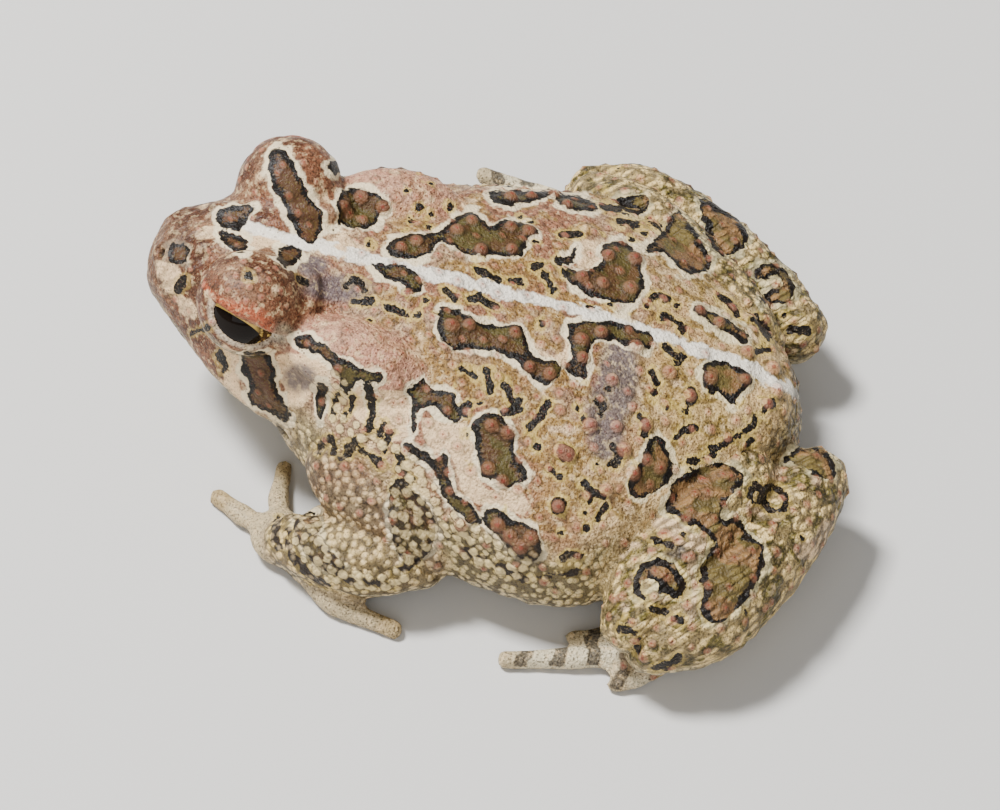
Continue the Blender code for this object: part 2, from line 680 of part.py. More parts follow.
def build_limbs(collection):
    """All limb segments, each still whole."""
    rows = dict(LIMBS)
    for right, left in ARM_SIDES.items():
        rows[right] = flip(LIMBS[left])
    limbs = {}
    for name, table in rows.items():
        form = limb_form(name, table, collection, around=32, along=36)
        limbs[name] = thin_out(form, BONE_TRIANGLES[name.rsplit("_", 1)[0]])
    hand_right = tuple((*((-p[0], p[1]) for p in f[:3]), f[3]) for f in FINGERS)
    plans = (
        ("hand_left", HAND_PALM, FINGERS, None, HAND_TRIANGLES),
        ("hand_right", flip(HAND_PALM), hand_right, None, HAND_TRIANGLES),
        ("foot_left", SOLE_LEFT, TOES_LEFT, WEB_LEFT, FOOT_TRIANGLES),
        ("foot_right", SOLE_RIGHT, TOES_RIGHT, WEB_RIGHT, FOOT_TRIANGLES),
    )
    for name, palm, digits, web, triangles in plans:
        limbs[name] = hand_or_foot(name, palm, digits, web, triangles, collection)
    return limbs


def build_eyes(collection):
    """The two eyeballs."""
    eyes = {}
    for side, name in ((LEFT, "eye_left"), (RIGHT, "eye_right")):
        centre = turned(mirrored(EYE_CENTRE, side))
        eyes[name] = ellipsoid(name, centre, (EYE_RADIUS,) * 3, 0.0, collection, 20)
    return eyes


def fit_limbs(limbs, cutters):
    """Cut each limb segment clear of what it grows from, from the trunk outwards."""
    for side in ("_left", "_right"):
        arm = ("trunk", "upper_arm" + side, "forearm" + side)
        leg = ("trunk", "thigh" + side, "shank" + side)
        clear_of(limbs["upper_arm" + side], arm[:1], cutters)
        clear_of(limbs["forearm" + side], arm[:2], cutters)
        clear_of(limbs["hand" + side], arm, cutters)
        clear_of(limbs["thigh" + side], leg[:1], cutters)
        clear_of(limbs["shank" + side], leg[:2], cutters)
        clear_of(limbs["foot" + side], leg, cutters)


def centre_on_floor(objects):
    """Move all objects so that the middle of their common box is over the origin."""
    corners = np.concatenate([read_vertices(obj.data)[0] for obj in objects])
    middle = (corners.min(axis=0) + corners.max(axis=0)) / 2
    shift = Matrix.Translation((-middle[0], -middle[1], 0))
    for obj in objects:
        obj.data.transform(shift)


def finish_node(obj, material):
    """One material and smooth shading with sharp creases."""
    obj.data.materials.clear()
    obj.data.materials.append(material)
    obj.data.shade_smooth()
    obj.data.set_sharp_from_angle(angle=math.radians(50))


def main():
    """Build the toad."""
    clear_scene()
    collection = bpy.data.collections.new("toad")
    cutters = bpy.data.collections.new("cutters")
    for group in (collection, cutters):
        bpy.context.scene.collection.children.link(group)
    trunk = build_trunk(collection)
    limbs = build_limbs(collection)
    for whole in (trunk, *limbs.values()):
        grown(whole, GROWTH, cutters)
    fit_limbs(limbs, cutters)
    open_eyes(trunk, cutters)
    for whole in (trunk, *limbs.values()):
        flatten_under(whole, cutters)
    head, torso = part_trunk(trunk, collection, cutters)
    eyes = build_eyes(collection)
    nodes = [head, torso, *limbs.values(), *eyes.values()]
    centre_on_floor(nodes)
    back = principled("back_skin", SKIN_COLOURS["back"], 0.6)
    limb_skin = principled("limb_skin", SKIN_COLOURS["limb"], 0.6)
    toe_skin = principled("toe_skin", SKIN_COLOURS["toe"], 0.6)
    wet_eye = principled("wet_eye", SKIN_COLOURS["eye"], 0.1)
    for obj in nodes:
        kind = obj.name.rsplit("_", 1)[0]
        material = {"head": back, "torso": back, "eye": wet_eye, "hand": toe_skin, "foot": toe_skin}
        finish_node(obj, material.get(kind, limb_skin))
    for cutter in list(cutters.objects):
        bpy.data.objects.remove(cutter, do_unlink=True)
    bpy.data.collections.remove(cutters)


main()
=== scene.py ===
"""Looks of a Fowler's toad: one skin over the body, two wet eyes and a plain studio.

Lengths in the classes are millimetres in the toad's own frame. There it faces -Y, its
left side is +X, the floor is Z = 0 and X = 0 runs along its spine.
"""

import logging
import math
import random
from dataclasses import dataclass, field
from enum import Enum
from functools import cached_property

import bmesh
import bpy
import numpy as np
from mathutils import Matrix, Vector, noise
from mathutils.bvhtree import BVHTree
from mathutils.kdtree import KDTree

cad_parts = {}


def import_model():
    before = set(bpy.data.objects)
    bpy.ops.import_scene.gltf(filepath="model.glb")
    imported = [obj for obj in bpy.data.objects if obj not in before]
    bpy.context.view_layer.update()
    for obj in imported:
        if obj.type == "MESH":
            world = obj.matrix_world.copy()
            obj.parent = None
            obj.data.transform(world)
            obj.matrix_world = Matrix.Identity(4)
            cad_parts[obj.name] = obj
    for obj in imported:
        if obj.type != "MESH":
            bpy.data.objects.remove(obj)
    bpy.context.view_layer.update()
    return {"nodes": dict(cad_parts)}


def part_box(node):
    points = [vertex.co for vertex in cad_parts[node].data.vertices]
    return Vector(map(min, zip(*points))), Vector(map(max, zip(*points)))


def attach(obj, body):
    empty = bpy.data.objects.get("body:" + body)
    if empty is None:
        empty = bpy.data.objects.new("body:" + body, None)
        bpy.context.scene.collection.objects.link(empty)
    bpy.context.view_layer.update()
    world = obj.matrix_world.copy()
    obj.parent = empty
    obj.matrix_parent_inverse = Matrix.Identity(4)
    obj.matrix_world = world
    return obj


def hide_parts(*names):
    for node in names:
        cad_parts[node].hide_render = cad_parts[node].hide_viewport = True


MM = 0.001
LOG = logging.getLogger("toad")
Place = tuple[float, float, float]
Pixel = tuple[float, float]
Socket = bpy.types.NodeSocket


class Side(Enum):
    """The toad's left and right side, by the sign of X."""

    LEFT = 1
    RIGHT = -1

    def of(self, place: Place) -> Place:
        """A place given for the left side, moved to this side."""
        return (place[0] * self.value, place[1], place[2])

    @property
    def word(self) -> str:
        """The side's name in lower case."""
        return self.name.lower()


def rgb(red: int, green: int, blue: int) -> tuple[float, float, float, float]:
    """Turn a screen colour into the linear colour that shaders take.

    Args:
        red: Red from 0 to 255.
        green: Green from 0 to 255.
        blue: Blue from 0 to 255.

    Returns:
        Linear red, green, blue and an alpha of 1.
    """
    shares = [value / 255 for value in (red, green, blue)]
    linear = [s / 12.92 if s <= 0.04045 else ((s + 0.055) / 1.055) ** 2.4 for s in shares]
    return (*linear, 1.0)


def smoothstep(values: np.ndarray, low: float, high: float) -> np.ndarray:
    """Rise smoothly from 0 at low to 1 at high.

    Args:
        values: Numbers to read.
        low: Where the result is 0.
        high: Where the result is 1; it may be under low.

    Returns:
        Shares from 0 to 1.
    """
    share = np.clip((values - low) / (high - low), 0.0, 1.0)
    return share * share * (3 - 2 * share)


@dataclass(frozen=True)
class PhotoView:
    """The photograph's camera, in millimetres in the toad's own frame."""

    rise: float = 49.5
    turn: float = 2.0
    roll: float = 9.3
    distance: float = 400.0
    pixels_per_mm: float = 9.8
    snout: Place = (0.0, -34.0, 18.5)
    snout_pixel: Pixel = (155.0, 252.0)
    width: int = 1000
    height: int = 810

    def axes(self) -> tuple[Vector, Vector, Vector]:
        """The camera's right, up and backward directions."""
        rise, turn, roll = (math.radians(a) for a in (self.rise, self.turn, self.roll))
        flat = math.cos(rise)
        back = Vector((flat * math.cos(turn), flat * math.sin(turn), math.sin(rise)))
        level = (-back).cross(Vector((0, 0, 1))).normalized()
        upright = level.cross(-back)
        right = level * math.cos(roll) + upright * math.sin(roll)
        up = upright * math.cos(roll) - level * math.sin(roll)
        return right, up, back

    def eye(self) -> Vector:
        """The camera's place."""
        right, up, back = self.axes()
        across = (self.snout_pixel[0] - self.width / 2) / self.pixels_per_mm
        above = (self.height / 2 - self.snout_pixel[1]) / self.pixels_per_mm
        return Vector(self.snout) + back * self.distance - right * across - up * above

    def focal(self) -> float:
        """Focal length in pixels."""
        return self.pixels_per_mm * self.distance

    def ray(self, pixel: Pixel) -> Vector:
        """The direction in which the camera sees a pixel."""
        right, up, back = self.axes()
        across = (pixel[0] - self.width / 2) / self.focal()
        above = (self.height / 2 - pixel[1]) / self.focal()
        return (right * across + up * above - back).normalized()

    def project(self, at: np.ndarray) -> np.ndarray:
        """Find the pixel on which each place falls.

        Args:
            at: Rows of x, y and z in millimetres.

        Returns:
            Rows of pixel x and y.
        """
        right, up, back = (np.array(axis) for axis in self.axes())
        away = at - np.array(self.eye())
        depth = -(away @ back)
        across = self.width / 2 + self.focal() * (away @ right) / depth
        down = self.height / 2 - self.focal() * (away @ up) / depth
        return np.stack([across, down], axis=1)

    def camera(self, shift: Vector) -> bpy.types.Object:
        """Make the scene's camera.

        Args:
            shift: Where the toad's own frame lies in the scene, in millimetres.

        Returns:
            The camera object.
        """
        data = bpy.data.cameras.new("camera")
        data.sensor_fit = "HORIZONTAL"
        data.sensor_width = 36.0
        data.lens = data.sensor_width * self.focal() / self.width
        data.clip_start = 0.01
        data.clip_end = 20.0
        camera = bpy.data.objects.new("camera", data)
        right, up, back = self.axes()
        turned = Matrix((right, up, back)).transposed().to_4x4()
        camera.matrix_world = Matrix.Translation((self.eye() + shift) * MM) @ turned
        bpy.context.scene.collection.objects.link(camera)
        bpy.context.scene.camera = camera
        return camera


@dataclass(frozen=True)
class HeadTurn:
    """The head's small turn to its right, which fades out over the neck."""

    degrees: float = 2.5
    pivot_y: float = -13.0
    begins_y: float = -10.0
    ends_y: float = -18.0

    def place(self, point: Place) -> Vector:
        """Where a point of the straight head lies once the head has turned.

        Args:
            point: The point before the turn.

        Returns:
            The point after it.
        """
        share = min(max((self.begins_y - point[1]) / (self.begins_y - self.ends_y), 0.0), 1.0)
        weight = share * share * (3 - 2 * share)
        angle = math.radians(-self.degrees) * weight
        x, y = point[0], point[1] - self.pivot_y
        across = x * math.cos(angle) - y * math.sin(angle)
        ahead = x * math.sin(angle) + y * math.cos(angle)
        return Vector((across, ahead + self.pivot_y, point[2]))

    def path(self, points: tuple[Place, ...], side: Side) -> list[Vector]:
        """A row of points on one side, after the turn."""
        return [self.place(side.of(point)) for point in points]


class Board:
    """A material's node tree, with short calls for the nodes that skins and eyes need."""

    def __init__(self, name: str) -> None:
        """Start a material with a Principled shader."""
        self.material = bpy.data.materials.new(name)
        self.material.use_nodes = True
        self.tree = self.material.node_tree
        self.shader = self.tree.nodes["Principled BSDF"]

    @cached_property
    def coordinates(self) -> Socket:
        """The Object coordinates."""
        return self.tree.nodes.new("ShaderNodeTexCoord").outputs["Object"]

    def plug(self, socket: Socket, value: Socket | float | tuple) -> None:
        """Link a socket to another, or set its number or colour."""
        if isinstance(value, bpy.types.NodeSocket):
            self.tree.links.new(value, socket)
        else:
            socket.default_value = value

    def mark(self, name: str) -> Socket:
        """The number that a named attribute holds."""
        node = self.tree.nodes.new("ShaderNodeAttribute")
        node.attribute_name = name
        return node.outputs["Fac"]

    def math(self, operation: str, first: Socket | float, second: Socket | float = 0.0) -> Socket:
        """One sum of two numbers."""
        node = self.tree.nodes.new("ShaderNodeMath")
        node.operation = operation
        self.plug(node.inputs[0], first)
        self.plug(node.inputs[1], second)
        return node.outputs[0]

    def fade(self, value: Socket, low: float, high: float) -> Socket:
        """Rise smoothly from 0 where the value is low to 1 where it is high."""
        node = self.tree.nodes.new("ShaderNodeMapRange")
        node.interpolation_type = "SMOOTHSTEP"
        self.plug(node.inputs["Value"], value)
        if low < high:
            node.inputs["From Min"].default_value = low
            node.inputs["From Max"].default_value = high
            return node.outputs[0]
        node.inputs["From Min"].default_value = high
        node.inputs["From Max"].default_value = low
        node.inputs["To Min"].default_value = 1.0
        node.inputs["To Max"].default_value = 0.0
        return node.outputs[0]

    def both(self, first: Socket | float, second: Socket | float) -> Socket:
        """The product of two shares."""
        return self.math("MULTIPLY", first, second)

    def mix(self, share: Socket | float, under: Socket | tuple, over: Socket | tuple) -> Socket:
        """Lay one colour over another."""
        node = self.tree.nodes.new("ShaderNodeMix")
        node.data_type = "RGBA"
        self.plug(node.inputs[0], share)
        self.plug(node.inputs[6], under)
        self.plug(node.inputs[7], over)
        return node.outputs[2]

    def grain(self, size: float, detail: float = 2.0, vector: Socket | None = None) -> Socket:
        """Soft noise with features of about a size in millimetres."""
        node = self.tree.nodes.new("ShaderNodeTexNoise")
        node.inputs["Scale"].default_value = 1 / (size * MM)
        node.inputs["Detail"].default_value = detail
        self.plug(node.inputs["Vector"], vector or self.coordinates)
        return node.outputs["Fac"]

    def cells(
        self, size: float, vector: Socket | None = None, feature: str = "F1"
    ) -> bpy.types.Node:
        """Cells of about a size in millimetres."""
        node = self.tree.nodes.new("ShaderNodeTexVoronoi")
        node.feature = feature
        node.inputs["Scale"].default_value = 1 / (size * MM)
        self.plug(node.inputs["Vector"], vector or self.coordinates)
        return node

    def stretched(self, scale: Place, turn: Place = (0.0, 0.0, 0.0)) -> Socket:
        """Object coordinates that are turned, and then stretched along each axis."""
        node = self.tree.nodes.new("ShaderNodeMapping")
        node.vector_type = "TEXTURE"
        node.inputs["Scale"].default_value = scale
        node.inputs["Rotation"].default_value = tuple(math.radians(a) for a in turn)
        self.plug(node.inputs["Vector"], self.coordinates)
        return node.outputs[0]

    def bump(self, height: Socket) -> Socket:
        """Raise the surface by a height in millimetres."""
        node = self.tree.nodes.new("ShaderNodeBump")
        node.inputs["Distance"].default_value = MM
        node.inputs["Strength"].default_value = 1.0
        self.plug(node.inputs["Height"], height)
        return node.outputs[0]


class Surface:
    """A mesh's points in millimetres in the toad's own frame, with its edges and normals."""

    def __init__(self, obj: bpy.types.Object, shift: np.ndarray) -> None:
        """Read a mesh object."""
        self.obj = obj
        self.shift = shift
        self.read()

    def read(self) -> None:
        """Read the points, edges and normals afresh."""
        mesh = self.obj.data
        places = np.empty(len(mesh.vertices) * 3, np.float32)
        mesh.vertices.foreach_get("co", places)
        self.at = places.reshape(-1, 3).astype(float) / MM - self.shift
        ends = np.empty(len(mesh.edges) * 2, np.int32)
        mesh.edges.foreach_get("vertices", ends)
        self.first, self.second = ends.reshape(-1, 2).T
        self.degree = np.bincount(ends, minlength=len(self.at))
        self.read_normals()

    def read_normals(self) -> None:
        """Read the vertex normals of the mesh as it is stored."""
        normals = np.empty(len(self.at) * 3, np.float32)
        self.obj.data.vertices.foreach_get("normal", normals)
        self.normal = normals.reshape(-1, 3).astype(float)

    def store(self) -> None:
        """Write the points back to the mesh and read the new normals."""
        places = (self.at + self.shift) * MM
        self.obj.data.vertices.foreach_set("co", places.astype(np.float32).ravel())
        self.obj.data.update()
        self.read_normals()

    def raise_by(self, lift: np.ndarray) -> None:
        """Move each point along its normal and store the result."""
        self.at = self.at + self.normal * lift[:, None]
        self.store()

    def around(self, values: np.ndarray) -> np.ndarray:
        """The mean of each point's neighbours.

        Args:
            values: One number, or one row of numbers, for each point.

        Returns:
            The means, in the same shape.
        """
        if values.ndim == 2:
            return np.stack([self.around(column) for column in values.T], axis=1)
        count = len(values)
        total = np.bincount(self.first, values[self.second], count)
        total += np.bincount(self.second, values[self.first], count)
        return total / np.maximum(self.degree, 1)

    def blurred(self, values: np.ndarray, passes: int) -> np.ndarray:
        """Values spread over their neighbours a number of times."""
        values = values.astype(float)
        for _ in range(passes):
            values = 0.5 * values + 0.5 * self.around(values)
        return values

    def smooth(self, passes: int) -> None:
        """Smooth the shape without shrinking it, by steps in and steps out."""
        for _ in range(passes):
            for step in (0.5, -0.53):
                self.at = self.at + step * (self.around(self.at) - self.at)
        self.store()

    def tree(self) -> BVHTree:
        """A search tree over the mesh, in the toad's own frame."""
        faces = [tuple(face.vertices) for face in self.obj.data.polygons]
        return BVHTree.FromPolygons([Vector(place) for place in self.at], faces)

    def away_from(self, place: Place | Vector) -> np.ndarray:
        """Distance from each point to a place."""
        return np.linalg.norm(self.at - np.array(place), axis=1)

    def away_from_path(self, path: list[Vector]) -> np.ndarray:
        """Distance from each point to a row of straight runs."""
        nearest = np.full(len(self.at), 1e9)
        for start, end in zip(path[:-1], path[1:]):
            start, run = np.array(start), np.array(end - start)
            share = np.clip(((self.at - start) @ run) / (run @ run), 0, 1)
            gap = np.linalg.norm(self.at - start - share[:, None] * run, axis=1)
            nearest = np.minimum(nearest, gap)
        return nearest

    def put(self, name: str, values: np.ndarray) -> None:
        """Keep one number for each point as an attribute that the material reads."""
        attribute = self.obj.data.attributes.new(name, "FLOAT", "POINT")
        attribute.data.foreach_set("value", values.astype(np.float32))


def distance_to_outline(pixels: np.ndarray, outline: np.ndarray) -> np.ndarray:
    """Distance from pixels to a closed outline, under 0 inside it.

    Args:
        pixels: Rows of pixel x and y.
        outline: Corners of the outline in order.

    Returns:
        One distance in pixels for each row.
    """
    ends = np.roll(outline, -1, axis=0)
    run = ends - outline
    away = pixels[:, None, :] - outline[None]
    share = np.clip((away * run).sum(-1) / np.maximum((run * run).sum(-1), 1e-9), 0, 1)
    gap = np.linalg.norm(away - share[..., None] * run, axis=-1).min(axis=1)
    level = pixels[:, 1, None]
    crosses = (outline[:, 1] > level) != (ends[:, 1] > level)
    slope = run[:, 0] / np.where(run[:, 1] == 0, 1e-9, run[:, 1])
    crossing = outline[:, 0] + (level - outline[:, 1]) * slope
    inside = (crosses & (pixels[:, 0, None] < crossing)).sum(axis=1) % 2 == 1
    return np.where(inside, -gap, gap)


def rounded(corners: tuple[Pixel, ...], steps: int = 3, closed: bool = True) -> np.ndarray:
    """A smooth line through corners.

    Args:
        corners: Pixels in order.
        steps: Points for each corner.
        closed: Whether the line returns to its start.

    Returns:
        Rows of pixel x and y.
    """
    rows = np.array(corners, float)
    count = len(rows)
    last = count if closed else count - 1
    out = []
    for k in range(last):
        picks = [(k - 1), k, k + 1, k + 2]
        picks = [p % count for p in picks] if closed else [min(max(p, 0), count - 1) for p in picks]
        before, start, end, after = rows[picks]
        for step in range(steps):
            t = step / steps
            out.append(
                0.5
                * (
                    2 * start
                    + (end - before) * t
                    + (2 * before - 5 * start + 4 * end - after) * t * t
                    + (3 * start - before - 3 * end + after) * t**3
                )
            )
    if not closed:
        out.append(rows[-1])
    return np.array(out)


@dataclass(frozen=True)
class Markings:
    """The toad's own marks as the camera sees them, as named outlines in pixels."""

    blotches: dict[str, tuple[Pixel, ...]] = field(default_factory=lambda: dict(BLOTCHES))
    holes: dict[str, tuple[Pixel, ...]] = field(default_factory=lambda: dict(HOLES))
    bars: dict[str, tuple[Pixel, ...]] = field(default_factory=lambda: dict(BARS))
    spots: dict[str, tuple[Pixel, float]] = field(default_factory=lambda: dict(SPOTS))
    stripe: tuple[Pixel, ...] = (
        (243, 227), (258, 231), (285, 238), (326, 248), (380, 262), (450, 277), (500, 291),
        (550, 303), (600, 316), (650, 332), (700, 351), (750, 369), (805, 397),
    )

    def blotch_distance(self, pixels: np.ndarray, reach: float) -> np.ndarray:
        """Distance to the nearest blotch, under 0 inside one.

        Args:
            pixels: Rows of pixel x and y.
            reach: The most pixels that count; further points get this value.

        Returns:
            One distance in pixels for each row.
        """
        nearest = np.full(len(pixels), reach)
        for corners in self.blotches.values():
            outline = rounded(corners)
            low, high = outline.min(axis=0) - reach, outline.max(axis=0) + reach
            near = np.nonzero(((pixels > low) & (pixels < high)).all(axis=1))[0]
            if len(near):
                found = distance_to_outline(pixels[near], outline)
                nearest[near] = np.minimum(nearest[near], found)
        for corners in self.holes.values():
            nearest = np.maximum(nearest, -distance_to_outline(pixels, rounded(corners)))
        return nearest

    def bar_distance(self, pixels: np.ndarray, reach: float, half_width: float) -> np.ndarray:
        """Distance to the edge of the nearest small bar or spot, under 0 inside one.

        Args:
            pixels: Rows of pixel x and y.
            reach: The most pixels that count; further points get this value.
            half_width: Half the width of a bar in pixels.

        Returns:
            One distance in pixels for each row.
        """
        nearest = np.full(len(pixels), reach)
        for corners in self.bars.values():
            line = rounded(corners, closed=False)
            gap = distance_to_line(pixels, line, reach + half_width)
            nearest = np.minimum(nearest, gap - half_width)
        for centre, radius in self.spots.values():
            gap = np.linalg.norm(pixels - np.array(centre), axis=1) - radius
            nearest = np.minimum(nearest, gap)
        return nearest

    def stripe_distance(self, pixels: np.ndarray, reach: float) -> np.ndarray:
        """Distance to the middle line of the pale stripe, in pixels."""
        return distance_to_line(pixels, rounded(self.stripe, closed=False), reach)


def inside_any(
    pixels: np.ndarray, outlines: dict[str, tuple[Pixel, ...]], out: float, full: float
) -> np.ndarray:
    """Rise from 0 outside some outlines to 1 inside them.

    Args:
        pixels: Rows of pixel x and y.
        outlines: Named corners of each outline.
        out: The distance at which the result is 0, in pixels.
        full: The distance at which it is 1, under 0 when it lies inside.

    Returns:
        One share for each row.
    """
    share = np.zeros(len(pixels))
    for corners in outlines.values():
        gap = distance_to_outline(pixels, rounded(corners))
        share = np.maximum(share, smoothstep(gap, out, full))
    return share


def distance_to_line(pixels: np.ndarray, line: np.ndarray, reach: float) -> np.ndarray:
    """Distance from pixels to an open line.

    Args:
        pixels: Rows of pixel x and y.
        line: Points of the line in order.
        reach: The most pixels that count; further points get this value.

    Returns:
        One distance in pixels for each row.
    """
    nearest = np.full(len(pixels), reach)
    for start, end in zip(line[:-1], line[1:]):
        low, high = np.minimum(start, end) - reach, np.maximum(start, end) + reach
        near = np.nonzero(((pixels > low) & (pixels < high)).all(axis=1))[0]
        if not len(near):
            continue
        run = end - start
        away = pixels[near] - start
        share = np.clip((away @ run) / max(run @ run, 1e-9), 0, 1)
        gap = np.linalg.norm(away - share[:, None] * run, axis=1)
        nearest[near] = np.minimum(nearest[near], gap)
    return nearest


# Dark blotches with an olive middle, a black border and a pale edge.
BLOTCHES: dict[str, tuple[Pixel, ...]] = {
    "lid bar": (
        (269, 152), (280, 148), (290, 157), (296, 170), (305, 185), (312, 200), (320, 209),
        (324, 222), (319, 237), (312, 244), (302, 240), (295, 230), (290, 220), (285, 210),
        (279, 197), (272, 185), (269, 170),
    ),
    "snout upper": (
        (219, 210), (232, 206), (250, 204), (257, 205), (252, 212), (247, 220), (240, 231),
        (227, 229), (217, 224),
    ),
    "snout lower": (
        (219, 232), (227, 231), (240, 235), (247, 240), (246, 250), (240, 254), (230, 249),
        (221, 240),
    ),
    "nostril": ((169, 245), (187, 244), (187, 262), (172, 263)),
    "behind far lid": ((329, 163), (340, 160), (350, 166), (342, 171), (335, 176), (330, 170)),
    "crown": ((281, 247), (290, 246), (302, 250), (301, 257), (293, 265), (285, 267), (277, 259)),
    "nape": (
        (341, 192), (350, 189), (365, 190), (378, 195), (390, 205), (389, 210), (380, 214),
        (377, 224), (367, 228), (352, 228), (342, 225), (335, 231), (334, 227), (339, 217),
        (336, 207),
    ),
    "right shoulder": (
        (385, 250), (392, 241), (405, 235), (422, 234), (437, 232), (447, 225), (460, 215),
        (472, 212), (480, 216), (490, 226), (505, 220), (522, 222), (532, 227), (539, 234),
        (530, 237), (526, 247), (521, 256), (505, 256), (490, 255), (475, 256), (460, 251),
        (450, 245), (440, 241), (435, 247), (425, 256), (405, 259), (392, 256),
    ),
    "teardrop": (
        (371, 264), (387, 263), (402, 265), (412, 270), (420, 280), (422, 290), (415, 292),
        (405, 287), (400, 281), (387, 280), (377, 271),
    ),
    "far row front": (
        (490, 192), (502, 190), (520, 190), (537, 190), (555, 192), (537, 201), (505, 205),
        (492, 200),
    ),
    "far row back": ((555, 197), (575, 195), (590, 200), (600, 210), (580, 211), (562, 207)),
    "far saddle": (
        (605, 243), (618, 241), (629, 245), (640, 256), (641, 271), (644, 282), (640, 297),
        (632, 304), (615, 303), (601, 299), (586, 296), (584, 291), (573, 285), (566, 277),
        (566, 268), (558, 260), (561, 256), (571, 256), (576, 247), (577, 254), (571, 266),
        (576, 271), (590, 270), (600, 264), (602, 252),
    ),
    "left shoulder": (
        (439, 310), (442, 307), (450, 307), (462, 312), (477, 321), (490, 324), (500, 326),
        (510, 325), (521, 326), (525, 335), (527, 345), (535, 355), (545, 360), (554, 360),
        (562, 367), (557, 377), (547, 384), (537, 382), (527, 375), (521, 365), (510, 357),
        (492, 351), (475, 349), (457, 351), (447, 345), (439, 335), (437, 322),
    ),
    "arch": (
        (568, 325), (582, 321), (601, 321), (618, 321), (632, 327), (651, 334), (654, 341),
        (647, 352), (643, 345), (629, 345), (615, 341), (600, 340), (590, 345), (588, 360),
        (587, 378), (579, 379), (572, 375), (564, 367), (569, 363), (572, 352), (568, 338),
    ),
    "rump": (
        (702, 365), (718, 360), (734, 365), (748, 372), (752, 381), (745, 389), (740, 395),
        (732, 407), (726, 399), (714, 390), (704, 388), (702, 381),
    ),
    "far rump": (
        (693, 304), (707, 310), (720, 315), (734, 324), (748, 334), (747, 345), (734, 338),
        (718, 329), (704, 318), (695, 313),
    ),
    "far thigh": (
        (662, 232), (676, 211), (687, 220), (701, 240), (712, 263), (701, 274), (682, 271),
        (665, 254), (643, 252),
    ),
    "far shank": (
        (700, 199), (718, 202), (745, 227), (747, 243), (734, 254), (718, 254), (708, 240),
    ),
    "far shank low": (
        (757, 266), (770, 263), (787, 271), (795, 293), (784, 304), (762, 304), (761, 296),
        (770, 288), (762, 279), (754, 277),
    ),
    "shoulder low": (
        (422, 377), (427, 383), (436, 390), (452, 392), (458, 405), (463, 419), (452, 422),
        (441, 413), (430, 406), (416, 413), (416, 427), (412, 433), (411, 424), (412, 411),
        (411, 399), (405, 390), (413, 385),
    ),
    "gland edge": (
        (294, 338), (306, 334), (316, 341), (327, 344), (336, 355), (349, 361), (361, 370),
        (383, 374), (380, 382), (372, 383), (375, 400), (369, 412), (366, 395), (362, 380),
        (352, 388), (347, 397), (341, 385), (330, 363), (308, 350), (298, 348),
    ),
    "cheek": (
        (243, 353), (256, 351), (270, 356), (276, 372), (275, 385), (284, 400), (291, 416),
        (285, 422), (272, 415), (258, 408), (247, 398), (250, 385), (241, 370),
    ),
    "behind drum": (
        (318, 382), (328, 386), (326, 397), (325, 410), (321, 421), (316, 414), (316, 400),
    ),
    "left side": (
        (473, 422), (480, 416), (492, 412), (502, 417), (509, 427), (515, 438), (515, 452),
        (520, 462), (526, 469), (526, 481), (516, 484), (508, 488), (497, 481), (483, 477),
        (479, 463), (476, 447), (473, 433),
    ),
    "flank line": (
        (402, 441), (416, 447), (427, 452), (436, 460), (447, 452), (449, 474), (454, 494),
        (469, 502), (482, 520), (474, 527), (461, 515), (446, 503), (440, 488), (434, 472),
        (420, 460), (405, 450),
    ),
    "flank": (
        (485, 512), (497, 508), (510, 519), (530, 524), (538, 535), (542, 549), (538, 560),
        (524, 560), (510, 549), (497, 535), (485, 526),
    ),
    "near thigh": (
        (671, 486), (682, 475), (704, 467), (721, 462), (735, 467), (745, 478), (738, 489),
        (727, 500), (721, 514), (715, 539), (702, 530), (682, 522), (674, 514), (663, 511),
        (668, 497),
    ),
    "knee ring": (
        (641, 564), (654, 560), (671, 561), (679, 572), (685, 583), (682, 597), (666, 594),
        (652, 594), (641, 600), (635, 592), (638, 580),
    ),
    "shank band": (
        (727, 519), (738, 519), (749, 533), (763, 547), (763, 567), (754, 586), (746, 600),
        (727, 619), (710, 622), (702, 614), (704, 594), (702, 578), (702, 564), (716, 539),
        (702, 528),
    ),
    "heel": (
        (782, 461), (799, 464), (818, 478), (834, 478), (834, 461), (824, 447), (804, 444),
    ),
    "haunch": (
        (648, 440), (660, 436), (668, 450), (672, 466), (668, 484), (655, 492), (640, 498),
        (628, 490), (632, 474), (642, 458),
    ),
    "arm cap": (
        (392, 488), (404, 486), (418, 494), (430, 508), (436, 528), (432, 548), (420, 560),
        (404, 562), (396, 548), (392, 528), (388, 508),
    ),
    "forearm top": (
        (296, 514), (314, 512), (322, 524), (318, 540), (332, 552), (346, 566), (336, 574),
        (318, 566), (302, 548), (294, 532),
    ),
    "far knee": (
        (620, 198), (634, 195), (648, 197), (650, 206), (640, 214), (628, 212), (618, 206),
    ),
}

# Pale eyes inside the blotches.
HOLES: dict[str, tuple[Pixel, ...]] = {
    "knee ring": ((641, 582), (650, 579), (658, 583), (657, 592), (648, 595), (640, 591)),
    "far shank low": ((768, 277), (778, 276), (783, 284), (778, 290), (770, 287)),
}

